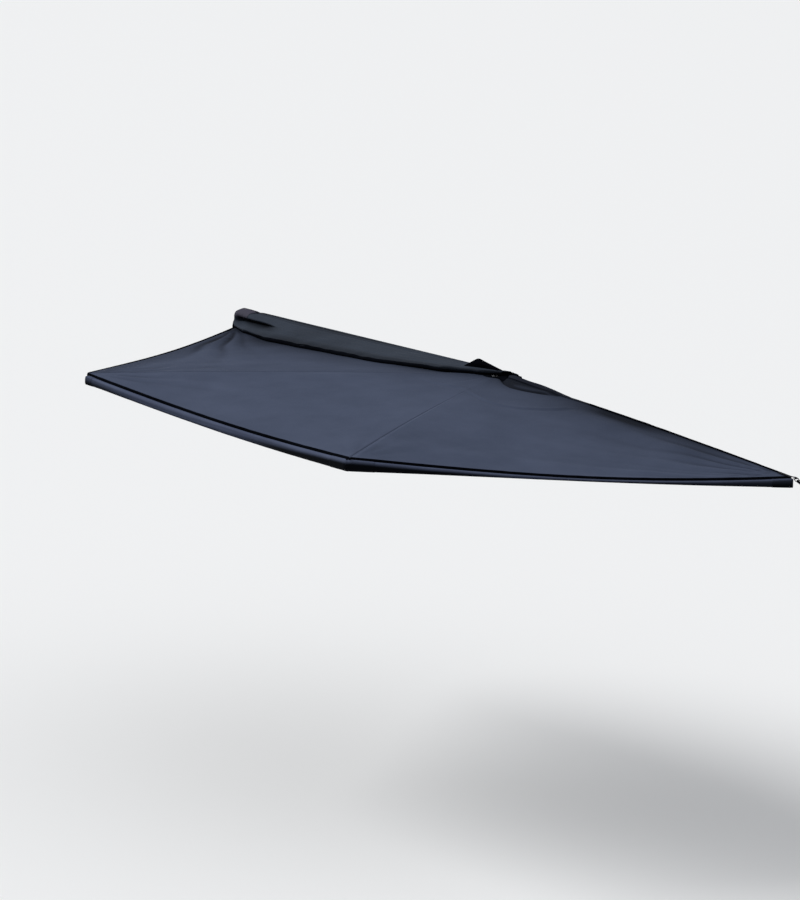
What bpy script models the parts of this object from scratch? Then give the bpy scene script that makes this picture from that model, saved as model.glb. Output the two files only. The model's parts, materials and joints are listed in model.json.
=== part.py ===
"""A 180 degree fan awning for the side of a vehicle's roof rack.

Lengths are in metres. +X runs rearward along the back rail, towards the hub. -Y points away from the vehicle.
+Z is up. The origin is the middle of the underside of the middle bracket's foot.

The arms are modelled as they lie when folded, along -X of the hub's axis, and are then turned about that axis.
"""

import math

import bmesh
import bpy
from mathutils import Vector

GAP = 0.0003  # between two pieces that touch

# Back rail, an aluminium extrusion
RAIL_LENGTH = 2.46
RAIL_HEIGHT = 0.094
RAIL_DEPTH = 0.030
RAIL_BACK = -0.0403
RAIL_FACE = RAIL_BACK - RAIL_DEPTH
RAIL_WALL = 0.003
RAIL_CHAMBERS = ((0.004, 0.0455), (0.0485, 0.080))  # low and high of each
SLOT_HEIGHTS = (0.026, 0.068)
SLOT_MOUTH = 0.009
SLOT_POCKET = (0.0055, 0.016)  # depth, height
KEDER_BORE = 0.0035
KEDER_MOUTH = 0.003
CAP_THICKNESS = 0.003

# Brackets that stand on the roof rack
BRACKET_PLACES = {"front": -0.85, "middle": 0.0, "rear": 0.85}
BRACKET_WIDTH = 0.060
BRACKET_STEEL = 0.005
FOOT_REACH = 0.085
FOOT_INNER = -0.040
LEG_TOP = 0.086
FOOT_SLOT = (0.009, 0.022)  # width, length
FOOT_SLOT_PLACES = (-0.018, 0.018)

# Hub: two plates round one upright pivot
PIVOT_X = 1.20
PIVOT_Y = -0.20
STACK_MIDDLE = 0.082
EYE_THICKNESS = 0.008
EYE_RADIUS = 0.020
WASHER_THICKNESS = 0.0015
STACK_HEIGHT = 3 * EYE_THICKNESS + 4 * WASHER_THICKNESS + 8 * GAP
PLATE_THICKNESS = 0.005
PLATE_NOSE = 0.028
HUB_FORWARD = 0.083  # the block and plates reach this far forward of the pivot
HUB_BEHIND = 0.028
HUB_BLOCK_FACE = -0.145
HUB_FLANGE = (0.170, 0.008, 0.004)  # reach forward of the pivot, thickness, margin at the rail's edges
PLATE_BACK = RAIL_FACE - 0.009
PLATE_NECK = (0.040, 0.0525)  # the plates narrow here, forward and inward of the pivot, beside the folded arm 2
PIVOT_RADIUS = 0.006
PIVOT_HEAD = (0.0104, 0.0075, 0.010)  # radius over the corners, head height, nut height
HUB_BOLT_RADIUS = 0.004
HUB_BOLT_HEAD = (0.0073, 0.005, 0.0065)
HUB_BORE_RADIUS = HUB_BOLT_RADIUS + GAP
HUB_BOLTS = ((PIVOT_X - 0.062, -0.105), (PIVOT_X + 0.008, -0.105))
WASHER_RADIUS = 0.015

# Arms: angle from the folded place, offset to the side of the pivot, reach, rise at the tip, upward bow
TUBE_WIDTH = 0.020
TUBE_HEIGHT = 0.038
TUBE_WALL = 0.0016
TUBE_START = 0.062  # from the pivot, on an arm that turns
FIXED_TUBE_START = 0.0836  # the first arm starts at the hub block
FAN_STEP = 60.0
ARMS = {
    1: {"angle": 0.0, "offset": -0.07, "reach": 2.42, "rise": -0.104, "bow": 0.006},
    2: {"angle": FAN_STEP, "offset": -0.03, "reach": 2.22, "rise": 0.052, "bow": 0.016},
    3: {"angle": 2 * FAN_STEP, "offset": 0.0, "reach": 2.22, "rise": -0.010, "bow": 0.020},
    4: {"angle": 3 * FAN_STEP, "offset": 0.03, "reach": 2.22, "rise": -0.160, "bow": 0.012},
}
TIP_CLEARANCE = 0.030  # from the tube's end to the corner of the canopy
TIE_PLACES = (0.62, 1.38)

# Canopy
CLOTH = 0.0015
CANOPY_LIFT = 0.004
CANOPY_INNER = 0.050  # the panels start this far from the pivot
CANOPY_INNER_AT_RAIL = 0.098
HUB_RISE = 0.005  # the panels ride up over the hub's top plate
HUB_RISE_REACH = 0.40
PANEL_SAG = {1: 0.018, 2: 0.032, 3: 0.048}
EDGE_HOLLOW = 0.022
PANEL_GAP = 0.0006  # from a panel's side to the plane along the arm
PANEL_ROWS = 9
PANEL_COLUMNS = 10
ROLL_HEIGHTS = {2: (0.054, 0.053, 0.067), 3: (0.067, 0.022, 0.052)}  # at its start, middle and end
ROLL_WIDTH = 0.036
ROLL_TOP = 0.004  # the rolls stand this much over the canopy's edge
MITRE_GAP = 0.0015  # from each roll to the plane where two meet
HEM_SIZE = 0.010

# Cover: a wide flap held in the rail's groove, laid out over the first arm and the canopy
COVER_CLOTH = 0.003
COVER_CROWN = (0.111, 0.099)  # height of its upper side over the rail, at the front and at the rear
COVER_HUB_RISE = 0.006  # and over the hub block
COVER_HINGE = (RAIL_BACK - 0.008, RAIL_HEIGHT + 0.003)  # y, z
COVER_EDGE = (  # places along the rail, and how far out the loose edge lies there
    (-1.232, 0.134),
    (-0.95, 0.250),
    (-0.62, 0.350),
    (-0.25, 0.395),
    (0.45, 0.440),
    (0.92, 0.368),
    (1.13, 0.270),
    (1.215, 0.178),
)
COVER_STEPS = 26
COVER_EDGE_LIFT = 0.006  # its underside stands over the canopy there
COVER_OVER_BOLTS = 0.1155  # height of its upper side over the hub's bolts
COVER_OVER_HUB = (0.98, 0.12)  # it rises to the hub from here, over this length
COVER_SHARES = (0.2, 0.4, 0.6, 0.8, 0.93)  # shares of its slope at which its section has a point
COVER_LIP_ROUND = 0.012  # its edge turns down by this much
COVER_BULGE = 0.010
END_DROP = (0.030, 0.007)  # the crown falls off over this length, by this much

# The cover's rear end flap, which stands up over the hub: left foot, peak, right foot
PEAK_FLAP = ((0.976, -0.236), (1.053, -0.200), (1.206, -0.158))
PEAK_HEIGHT = 0.188
PEAK_CLOTH = 0.002
PEAK_FOOT = 0.003  # over the cover, where its seam lies

CRADLE_TOP = 0.060

# Webbing straps that hang from the rail, for tying the folded arms
STRAP_PLACES = {"front": -0.45, "rear": 0.42}
STRAP_WIDTH = 0.025
STRAP_THICKNESS = 0.0016
STRAP_LENGTH = 0.260

# Guy line at the last arm's tip
TAB_WIDTH = 0.018
TAB_REACH = 0.070  # from the corner inward
RING_HALF = (0.0145, 0.010)  # half width, half depth
RING_CORNER = 0.005
RING_WIRE = 0.002
LOOP_PLACE = 2.268  # from the pivot to the ring's near side
ROPE_DIAMETER = 0.007
ROPE_LENGTH = 0.30
ROPE_HEADING = 20.0
ROPE_DIP = 36.0
ROPE_SAG = 0.004
ROPE_POINTS = 19
ROPE_CLEAR = 0.0018  # its slanting end faces clear the round wires
HOOK_HALF = (0.014, 0.0275)
HOOK_WIRE = 0.0025


def clear_scene():
    for thing in list(bpy.data.objects):
        bpy.data.objects.remove(thing, do_unlink=True)


def linear(hex_colour):
    """An sRGB hex colour as linear RGBA."""
    parts = [int(hex_colour[i : i + 2], 16) / 255 for i in (1, 3, 5)]
    return [c / 12.92 if c <= 0.04045 else ((c + 0.055) / 1.055) ** 2.4 for c in parts] + [1.0]


def make_material(name, colour, roughness, metallic=0.0):
    material = bpy.data.materials.new(name)
    material.use_nodes = True
    shader = material.node_tree.nodes["Principled BSDF"]
    shader.inputs["Base Color"].default_value = linear(colour)
    shader.inputs["Roughness"].default_value = roughness
    shader.inputs["Metallic"].default_value = metallic
    return material


def link(name, mesh_or_bmesh, material, parent=None, smooth=True):
    """Puts a mesh in the scene as one named piece."""
    if isinstance(mesh_or_bmesh, bmesh.types.BMesh):
        mesh = bpy.data.meshes.new(name)
        bmesh.ops.recalc_face_normals(mesh_or_bmesh, faces=mesh_or_bmesh.faces)
        mesh_or_bmesh.to_mesh(mesh)
        mesh_or_bmesh.free()
    else:
        mesh = mesh_or_bmesh
    piece = bpy.data.objects.new(name, mesh)
    bpy.context.scene.collection.objects.link(piece)
    mesh.materials.append(material)
    if smooth:
        mesh.shade_smooth()
        mesh.set_sharp_from_angle(angle=math.radians(35))
    piece.parent = parent
    return piece


def frame_at(name, place, turn=0.0, parent=None):
    """An empty that other pieces are placed by."""
    empty = bpy.data.objects.new(name, None)
    bpy.context.scene.collection.objects.link(empty)
    empty.location = place
    empty.rotation_euler = (0, 0, math.radians(turn))
    empty.parent = parent
    return empty


def bevel(piece, width, segments=2):
    modifier = piece.modifiers.new("Rounded edges", "BEVEL")
    modifier.width = width
    modifier.segments = segments
    modifier.limit_method = "ANGLE"
    modifier.angle_limit = math.radians(40)
    return piece


def combine(piece, other, operation="DIFFERENCE"):
    """Cuts other out of piece, or joins it on, and hides other as a helper."""
    modifier = piece.modifiers.new(operation.title() + " " + other.name, "BOOLEAN")
    modifier.operation = operation
    modifier.object = other
    modifier.solver = "EXACT"
    other.hide_render = True
    other.display_type = "WIRE"
    return piece


def box(name, low, high, material, parent=None):
    low, high = Vector(low), Vector(high)
    shape = bmesh.new()
    bmesh.ops.create_cube(shape, size=1.0)
    bmesh.ops.scale(shape, vec=high - low, verts=shape.verts)
    piece = link(name, shape, material, parent, smooth=False)
    piece.location = (low + high) / 2
    return piece


def extruded(name, outline, direction, material, parent=None):
    """A flat outline pushed along a direction."""
    shape = bmesh.new()
    face = shape.faces.new([shape.verts.new(point) for point in outline])
    pushed = bmesh.ops.extrude_face_region(shape, geom=[face])
    moved = [part for part in pushed["geom"] if isinstance(part, bmesh.types.BMVert)]
    bmesh.ops.translate(shape, vec=direction, verts=moved)
    return link(name, shape, material, parent, smooth=False)


def round_piece(name, radius, bottom, top, place, material, parent=None, sides=24):
    shape = bmesh.new()
    bmesh.ops.create_cone(
        shape, cap_ends=True, segments=sides, radius1=radius, radius2=radius, depth=top - bottom
    )
    piece = link(name, shape, material, parent)
    piece.location = (place[0], place[1], (top + bottom) / 2)
    return piece


def lying(piece, x, y, z):
    """Lays an upright round piece down, so that what was up points inward, to +Y, from (x, y, z)."""
    middle = piece.location.z
    piece.rotation_euler = (-math.pi / 2, 0, 0)
    piece.location = (x, y + middle, z)
    return piece


def ring_piece(name, outer, inner, bottom, top, place, material, parent=None, sides=28):
    """A washer: the outline of its wall spun once round the upright axis."""
    shape = bmesh.new()
    corners = [(inner, bottom), (outer, bottom), (outer, top), (inner, top)]
    verts = [shape.verts.new((r, 0, z)) for r, z in corners]
    edges = [shape.edges.new((verts[i], verts[(i + 1) % 4])) for i in range(4)]
    bmesh.ops.spin(
        shape, geom=verts + edges, axis=(0, 0, 1), cent=(0, 0, 0), angle=2 * math.pi, steps=sides, use_merge=True
    )
    piece = link(name, shape, material, parent)
    piece.location = (place[0], place[1], 0)
    return piece


def loft(name, sections, material, parent=None, hollow=None, smooth=True):
    """A closed solid through like sections, each a ring of points. hollow holds the inner wall's rings."""
    shape = bmesh.new()

    def wall(rings):
        made = [[shape.verts.new(point) for point in ring] for ring in rings]
        for near, far in zip(made, made[1:]):
            for i in range(len(near)):
                j = (i + 1) % len(near)
                shape.faces.new((near[i], near[j], far[j], far[i]))
        return made

    outer = wall(sections)
    if hollow is None:
        shape.faces.new(outer[0])
        shape.faces.new(outer[-1])
    else:
        inner = wall(hollow)
        for out_ring, in_ring in ((outer[0], inner[0]), (outer[-1], inner[-1])):
            for i in range(len(out_ring)):
                j = (i + 1) % len(out_ring)
                shape.faces.new((out_ring[i], out_ring[j], in_ring[j], in_ring[i]))
    return link(name, shape, material, parent, smooth)


def sheet_solid(name, grid, thickness, material, parent=None):
    """A closed sheet: a grid of upper points, and the same grid lower by the thickness."""
    shape = bmesh.new()
    upper = [[shape.verts.new(point) for point in row] for row in grid]
    lower = [[shape.verts.new(Vector(point) - Vector((0, 0, thickness))) for point in row] for row in grid]
    rows, columns = len(grid), len(grid[0])
    for i in range(rows - 1):
        for j in range(columns - 1):
            shape.faces.new((upper[i][j], upper[i][j + 1], upper[i + 1][j + 1], upper[i + 1][j]))
            shape.faces.new((lower[i][j], lower[i + 1][j], lower[i + 1][j + 1], lower[i][j + 1]))
    rim = (
        [(0, j) for j in range(columns)]
        + [(i, columns - 1) for i in range(1, rows)]
        + [(rows - 1, j) for j in range(columns - 2, -1, -1)]
        + [(i, 0) for i in range(rows - 2, 0, -1)]
    )
    for (a, b), (c, d) in zip(rim, rim[1:] + rim[:1]):
        shape.faces.new((upper[a][b], lower[a][b], lower[c][d], upper[c][d]))
    return link(name, shape, material, parent)


def chamfered(half_width, half_height, cut):
    """The corners of a rectangle with its corners cut off."""
    w, h, c = half_width, half_height, cut
    return [(w, -h + c), (w, h - c), (w - c, h), (c - w, h), (-w, h - c), (-w, c - h), (c - w, -h), (w - c, -h)]


def arm_height(arm, along):
    """Height of an arm's middle line at a distance from the pivot."""
    t = along / arm["reach"]
    return STACK_MIDDLE + arm["rise"] * t + 4 * arm["bow"] * t * (1 - t)


def along_arm(arm, start, end, corners, steps=8):
    """A section carried along an arm, in the folded frame."""
    rings = []
    for i in range(steps + 1):
        along = start + (end - start) * i / steps
        height = arm_height(arm, along)
        rings.append([(-along, -arm["offset"] + y, height + z) for y, z in corners])
    return rings


def fan_point(angle, offset, along, height):
    """A point of the canopy about the pivot, at an angle from the folded place."""
    turn = math.radians(angle)
    x = -along * math.cos(turn) + offset * math.sin(turn)
    y = -along * math.sin(turn) - offset * math.cos(turn)
    return (x, y, height)


# Materials
clear_scene()
ALUMINIUM = make_material("Anodised aluminium, dark grey", "#3c4046", 0.42, 0.9)
ARM_ALUMINIUM = make_material("Anodised aluminium, silver", "#a9adb2", 0.38, 0.95)
STEEL = make_material("Black powder-coated steel", "#1c1d20", 0.5)
ZINC = make_material("Zinc-plated steel", "#b4b7ba", 0.35, 1.0)
NYLON = make_material("Black glass-filled nylon", "#17181a", 0.55)
CANVAS = make_material("Slate coated oxford cloth", "#484e61", 0.72)
EDGE_CLOTH = make_material("Charcoal edge cloth", "#2b2f37", 0.75)
COVER_CLOTH_MATERIAL = make_material("Charcoal coated cover cloth", "#343944", 0.6)
WEBBING = make_material("Black polyester webbing", "#141518", 0.85)
ROPE = make_material("Black polyester rope", "#121316", 0.8)


# Back rail with its two bolt slots, the groove for the cover and two chambers
def rail_outline():
    depth, height = SLOT_POCKET
    back, face = RAIL_BACK, RAIL_FACE
    points = [(back, 0.0)]
    for middle in SLOT_HEIGHTS:
        lip = back - 0.0025
        bottom = lip - depth
        points += [
            (back, middle - SLOT_MOUTH / 2),
            (lip, middle - SLOT_MOUTH / 2),
            (lip, middle - height / 2),
            (bottom, middle - height / 2),
            (bottom, middle + height / 2),
            (lip, middle + height / 2),
            (lip, middle + SLOT_MOUTH / 2),
            (back, middle + SLOT_MOUTH / 2),
        ]
    points.append((back, RAIL_HEIGHT))
    groove = (back - 0.008, RAIL_HEIGHT - 0.0015 - KEDER_BORE)
    half_mouth = KEDER_MOUTH / 2
    opening = math.asin(half_mouth / KEDER_BORE)
    points.append((groove[0] + half_mouth, RAIL_HEIGHT))
    turns = 8
    for i in range(turns + 1):
        turn = opening + (2 * math.pi - 2 * opening) * i / turns
        points.append((groove[0] + KEDER_BORE * math.sin(turn), groove[1] + KEDER_BORE * math.cos(turn)))
    points.append((groove[0] - half_mouth, RAIL_HEIGHT))
    points += [(face + 0.004, RAIL_HEIGHT), (face, RAIL_HEIGHT - 0.004), (face, 0.003), (face + 0.003, 0.0)]
    return points


def make_rail():
    half = RAIL_LENGTH / 2
    outline = [(-half, y, z) for y, z in rail_outline()]
    rail = extruded("back_rail", outline, (RAIL_LENGTH, 0, 0), ALUMINIUM)
    inner = RAIL_FACE + RAIL_WALL
    slot_bottom = RAIL_BACK - 0.0025 - SLOT_POCKET[0] - RAIL_WALL
    for number, (low, high) in enumerate(RAIL_CHAMBERS, start=1):
        chamber = box(
            f"rail_chamber_{number}", (-half - 0.01, inner, low), (half + 0.01, slot_bottom, high), ALUMINIUM
        )
        combine(rail, chamber)
    for end, side in (("front", -1), ("rear", 1)):
        near = side * (half + GAP)
        far = near + side * CAP_THICKNESS
        cap = box(
            f"rail_cap_{end}",
            (min(near, far), RAIL_FACE, 0.0),
            (max(near, far), RAIL_BACK, RAIL_HEIGHT),
            NYLON,
        )
        bevel(cap, 0.001, 1)


# Brackets: a foot on the roof rack and a leg behind the rail, each held by two bolts
def make_bracket(place, x):
    half = BRACKET_WIDTH / 2
    foot_back = FOOT_INNER + FOOT_REACH
    inside = FOOT_INNER + BRACKET_STEEL
    outline = [
        (FOOT_INNER, 0.0),
        (foot_back, 0.0),
        (foot_back, BRACKET_STEEL),
        (inside + 0.004, BRACKET_STEEL),
        (inside, BRACKET_STEEL + 0.004),
        (inside, LEG_TOP),
        (FOOT_INNER, LEG_TOP),
    ]
    bracket = extruded(
        f"bracket_{place}", [(x - half, y, z) for y, z in outline], (BRACKET_WIDTH, 0, 0), STEEL
    )
    width, length = FOOT_SLOT
    for number, shift in enumerate(FOOT_SLOT_PLACES, start=1):
        cutter = box(
            f"foot_slot_{place}_{number}",
            (x + shift - width / 2, 0.012, -0.01),
            (x + shift + width / 2, 0.012 + length, 0.02),
            STEEL,
        )
        combine(bracket, bevel(cutter, width * 0.49, 4))
    for number, height in enumerate(SLOT_HEIGHTS, start=1):
        hole = round_piece(f"leg_hole_{place}_{number}", 0.0044, -0.02, 0.02, (0, 0), STEEL, sides=16)
        combine(bracket, lying(hole, x, FOOT_INNER, height))
        make_slot_bolt(f"{place}_{number}", x, height)


def make_slot_bolt(label, x, height):
    """A hammer-head bolt in the rail's slot, with the flanged nut that it holds behind the bracket's leg."""
    head_back = RAIL_BACK - 0.0025 - GAP
    head = box(
        f"slot_bolt_{label}",
        (x - 0.007, head_back - 0.0045, height - 0.0072),
        (x + 0.007, head_back, height + 0.0072),
        ZINC,
    )
    shank = round_piece(f"slot_bolt_shank_{label}", 0.0039, -0.002, 0.024, (0, 0), ZINC, sides=16)
    combine(head, lying(shank, x, head_back, height), "UNION")
    start = FOOT_INNER + BRACKET_STEEL + GAP
    nut = round_piece(f"slot_nut_{label}", 0.0073, 0.0012, 0.0080, (0, 0), ZINC, sides=6)
    flange = round_piece(f"nut_flange_{label}", 0.0090, 0.0, 0.0020, (0, 0), ZINC, sides=20)
    combine(head, lying(nut, x, start, height), "UNION")
    combine(head, lying(flange, x, start, height), "UNION")


# Hub
STACK_LOW = STACK_MIDDLE - STACK_HEIGHT / 2
STACK_TOP = STACK_MIDDLE + STACK_HEIGHT / 2


def hub_outline():
    """The plates' outline: wide against the rail, round at the pivot."""
    points = [
        (PIVOT_X + HUB_BEHIND, PLATE_BACK),
        (PIVOT_X - HUB_FORWARD, PLATE_BACK),
        (PIVOT_X - HUB_FORWARD, HUB_BLOCK_FACE),
        (PIVOT_X - PLATE_NECK[0], PIVOT_Y + PLATE_NECK[1]),
    ]
    turns = 10
    for i in range(turns + 1):
        turn = math.pi * (1.05 + 0.95 * i / turns)
        points.append((PIVOT_X + PLATE_NOSE * math.cos(turn), PIVOT_Y + PLATE_NOSE * math.sin(turn)))
    return points


def drilled(piece, label, places, radius, low, high):
    for number, (x, y) in enumerate(places, start=1):
        combine(piece, round_piece(f"{label}_{number}", radius, low, high, (x, y), STEEL, sides=20))
    return piece


def make_hub():
    reach, thickness, margin = HUB_FLANGE
    block = box(
        "hub_block",
        (PIVOT_X - HUB_FORWARD, HUB_BLOCK_FACE, STACK_LOW + GAP),
        (PIVOT_X + HUB_BEHIND - 0.002, RAIL_FACE - 0.006, STACK_TOP - GAP),
        ALUMINIUM,
    )
    flange = box(
        "hub_flange",
        (PIVOT_X - reach, RAIL_FACE - GAP - thickness, margin),
        (PIVOT_X + HUB_BEHIND, RAIL_FACE - GAP, RAIL_HEIGHT - margin),
        ALUMINIUM,
    )
    combine(block, bevel(flange, 0.002, 1), "UNION")
    drilled(block, "block_bore", HUB_BOLTS, HUB_BORE_RADIUS, 0.0, 0.2)
    pivot_and_bolts = [(PIVOT_X, PIVOT_Y)] + list(HUB_BOLTS)
    for name, low, high in (
        ("hub_plate_top", STACK_TOP, STACK_TOP + PLATE_THICKNESS),
        ("hub_plate_bottom", STACK_LOW - PLATE_THICKNESS, STACK_LOW),
    ):
        plate = extruded(name, [(x, y, low) for x, y in hub_outline()], (0, 0, high - low), STEEL)
        drilled(plate, f"{name}_pivot", pivot_and_bolts[:1], PIVOT_RADIUS + GAP, 0.0, 0.2)
        drilled(plate, f"{name}_bore", pivot_and_bolts[1:], HUB_BORE_RADIUS, 0.0, 0.2)
    make_upright_bolt("pivot_bolt", "pivot_nut", (PIVOT_X, PIVOT_Y), PIVOT_RADIUS, *PIVOT_HEAD)
    for number, place in enumerate(HUB_BOLTS, start=1):
        make_upright_bolt(f"hub_bolt_{number}", f"hub_nut_{number}", place, HUB_BOLT_RADIUS, *HUB_BOLT_HEAD)
    for level in range(4):
        low = STACK_LOW + GAP + level * (EYE_THICKNESS + WASHER_THICKNESS + 2 * GAP)
        ring_piece(
            f"pivot_washer_{level + 1}",
            WASHER_RADIUS,
            PIVOT_RADIUS + GAP,
            low,
            low + WASHER_THICKNESS,
            (PIVOT_X, PIVOT_Y),
            NYLON,
        )


def make_upright_bolt(bolt_name, nut_name, place, radius, head_radius, head_height, nut_height):
    """A hexagon-headed bolt down through both plates, and its nut."""
    top = STACK_TOP + PLATE_THICKNESS + GAP
    bottom = STACK_LOW - PLATE_THICKNESS - GAP
    end = bottom - nut_height - 0.003
    head = round_piece(bolt_name, head_radius, top, top + head_height, place, ZINC, sides=6)
    combine(head, round_piece(f"{bolt_name}_shank", radius, end, top + 0.002, place, ZINC), "UNION")
    nut = round_piece(nut_name, head_radius, bottom - nut_height, bottom, place, ZINC, sides=6)
    combine(nut, round_piece(f"{nut_name}_bore", radius + GAP, bottom - 0.03, bottom + 0.01, place, ZINC))


# Arms
pivot = frame_at("pivot_axis", (PIVOT_X, PIVOT_Y, 0))
arm_frames = {number: frame_at(f"arm_{number}_axis", (0, 0, 0), arm["angle"], pivot) for number, arm in ARMS.items()}
OUTER_SECTION = chamfered(TUBE_WIDTH / 2, TUBE_HEIGHT / 2, 0.0025)
INNER_SECTION = chamfered(TUBE_WIDTH / 2 - TUBE_WALL, TUBE_HEIGHT / 2 - TUBE_WALL, 0.0015)
TONGUE_SECTION = chamfered(
    TUBE_WIDTH / 2 - TUBE_WALL - GAP, TUBE_HEIGHT / 2 - TUBE_WALL - GAP, 0.0022
)


def tube_end(arm):
    return arm["reach"] - TIP_CLEARANCE


def make_tube(number):
    arm, frame = ARMS[number], arm_frames[number]
    start, end = (FIXED_TUBE_START if number == 1 else TUBE_START), tube_end(arm)
    outer = along_arm(arm, start, end, OUTER_SECTION)
    inner = along_arm(arm, start, end, INNER_SECTION)
    loft(f"arm_{number}_tube", outer, ARM_ALUMINIUM, frame, hollow=inner)
    plug = loft(
        f"arm_{number}_tip_cap",
        along_arm(arm, end + GAP, end + 0.008, chamfered(TUBE_WIDTH / 2 + 0.001, TUBE_HEIGHT / 2 + 0.001, 0.004), 1),
        NYLON,
        frame,
    )
    stem = loft(f"arm_{number}_tip_stem", along_arm(arm, end - 0.03, end + 0.004, TONGUE_SECTION, 1), NYLON, frame)
    combine(plug, stem, "UNION")


def make_knuckle(number):
    """The arm's end at the pivot: an eye, a cranked plate and a tongue inside the tube."""
    arm, frame = ARMS[number], arm_frames[number]
    level = 4 - number
    low = STACK_LOW + 2 * GAP + WASHER_THICKNESS + level * (EYE_THICKNESS + WASHER_THICKNESS + 2 * GAP)
    high = low + EYE_THICKNESS
    tongue = loft(
        f"arm_{number}_knuckle", along_arm(arm, TUBE_START - 0.008, 0.150, TONGUE_SECTION, 3), ARM_ALUMINIUM, frame
    )
    shift = -arm["offset"]
    reach = TUBE_START - 0.002
    plate = extruded(
        f"arm_{number}_crank",
        [
            (0.0, -0.014, low),
            (0.0, 0.014, low),
            (-0.024, 0.014, low),
            (-reach + 0.018, shift + TUBE_WIDTH / 2, low),
            (-reach, shift + TUBE_WIDTH / 2, low),
            (-reach, shift - TUBE_WIDTH / 2, low),
            (-reach + 0.018, shift - TUBE_WIDTH / 2, low),
            (-0.024, -0.014, low),
        ],
        (0, 0, EYE_THICKNESS),
        ARM_ALUMINIUM,
        frame,
    )
    collar = loft(
        f"arm_{number}_collar", along_arm(arm, TUBE_START - 0.014, TUBE_START - GAP, OUTER_SECTION, 1), ARM_ALUMINIUM, frame
    )
    eye = round_piece(f"arm_{number}_eye", EYE_RADIUS, low, high, (0, 0), ARM_ALUMINIUM, frame, sides=32)
    for part in (plate, collar, eye):
        combine(tongue, part, "UNION")
    combine(tongue, round_piece(f"arm_{number}_bore", PIVOT_RADIUS + GAP, low - 0.01, high + 0.01, (0, 0), ZINC, frame))


def make_ties(number):
    """Webbing loops that hold the canopy to the tube."""
    arm, frame = ARMS[number], arm_frames[number]
    inner = chamfered(TUBE_WIDTH / 2 + GAP, TUBE_HEIGHT / 2 + GAP, 0.0022)
    outer = chamfered(TUBE_WIDTH / 2 + 0.0015, TUBE_HEIGHT / 2 + 0.0015, 0.003)
    for label, place in zip(("inner", "outer"), TIE_PLACES):
        start, end = place - 0.0125, place + 0.0125
        loft(
            f"arm_{number}_tie_{label}",
            along_arm(arm, start, end, outer, 1),
            WEBBING,
            frame,
            hollow=along_arm(arm, start, end, inner, 1),
        )


def make_sleeve(number, name, start):
    """The canopy's hemmed edge, sewn round an outer arm's tube."""
    arm, frame = ARMS[number], arm_frames[number]
    inner = chamfered(TUBE_WIDTH / 2 + GAP, TUBE_HEIGHT / 2 + GAP, 0.0022)
    outer = chamfered(TUBE_WIDTH / 2 + 0.0015, TUBE_HEIGHT / 2 + 0.0015, 0.003)
    end = tube_end(arm) - 0.03
    loft(
        name,
        along_arm(arm, start, end, outer),
        EDGE_CLOTH,
        frame,
        hollow=along_arm(arm, start, end, inner),
    )


def make_fixed_arm():
    """The first arm stays beside the rail: a root in the hub block holds one end, a cradle the other."""
    arm, frame = ARMS[1], arm_frames[1]
    make_tube(1)
    loft("arm_1_root", along_arm(arm, FIXED_TUBE_START, 0.170, TONGUE_SECTION, 3), ARM_ALUMINIUM, frame)


# Canopy: three panels, an edge on each, all about the pivot
def between(first, key, u):
    """A value part of the way from one arm's to the next arm's."""
    return ARMS[first][key] + (ARMS[first + 1][key] - ARMS[first][key]) * u


def panel_reach(first, u):
    """How far out a panel goes from the pivot: along the chord between two tips, and hollowed a little."""
    half = math.radians(FAN_STEP / 2)
    lean = math.radians(FAN_STEP * (u - 0.5))
    return between(first, "reach", u) * math.cos(half) / math.cos(lean) - EDGE_HOLLOW * 4 * u * (1 - u)


def panel_height(first, u, share):
    """Height of a panel at a share of its reach: held up by both arms, and sagging between them."""
    share = min(share, 1.0)
    a, b = ARMS[first], ARMS[first + 1]
    held = arm_height(a, share * a["reach"]) * (1 - u) + arm_height(b, share * b["reach"]) * u
    sag = PANEL_SAG[first] * 4 * u * (1 - u) * share**1.6
    over_hub = HUB_RISE * max(0.0, 1 - share * a["reach"] / HUB_RISE_REACH) ** 2
    return held + TUBE_HEIGHT / 2 + CANOPY_LIFT + CLOTH - sag + over_hub


def panel_point(first, u, s):
    """A point between two arms. u goes across from the first arm to the next, s out from the pivot."""
    reach = panel_reach(first, u)
    inner = CANOPY_INNER
    if first == 1:
        inner += (CANOPY_INNER_AT_RAIL - CANOPY_INNER) * max(0.0, 1 - 2.5 * u)
    share = inner / reach + (1 - inner / reach) * s
    return fan_point(between(first, "angle", u), between(first, "offset", u), reach * share, panel_height(first, u, share))


def canopy_height(x, y):
    """Height of the first panel's upper side at a place, found by turning the place back into u and share."""
    east, north = x - PIVOT_X, y - PIVOT_Y
    u = 0.3
    for _ in range(8):
        offset = between(1, "offset", u)
        along = math.sqrt(max(east**2 + north**2 - offset**2, 0.0))
        angle = math.degrees(math.atan2(north, east) - math.atan2(-offset, -along))
        angle = (angle + 180.0) % 360.0 - 180.0
        u = min(max(angle / FAN_STEP, 0.0), 1.0)
    return panel_height(1, u, along / panel_reach(1, u))


def make_panel(first):
    """One panel, with a little room to its neighbours along the arms."""
    grid = []
    for i in range(PANEL_ROWS + 1):
        s = i / PANEL_ROWS
        row = []
        for j in range(PANEL_COLUMNS + 1):
            u = j / PANEL_COLUMNS
            x, y, z = panel_point(first, u, s)
            if j in (0, PANEL_COLUMNS):
                nx, ny, _ = panel_point(first, 0.5, s)
                inward = Vector((nx - x, ny - y, 0)).normalized() * PANEL_GAP
                x, y = x + inward.x, y + inward.y
            row.append((x, y, z))
        grid.append(row)
    sheet_solid(f"canopy_panel_{first}", grid, CLOTH, CANVAS, pivot)


def through_three(values, u):
    """A smooth value through a start, a middle and an end."""
    start, middle, end = values
    return start * (1 - u) * (1 - 2 * u) + middle * 4 * u * (1 - u) + end * u * (2 * u - 1)


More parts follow.
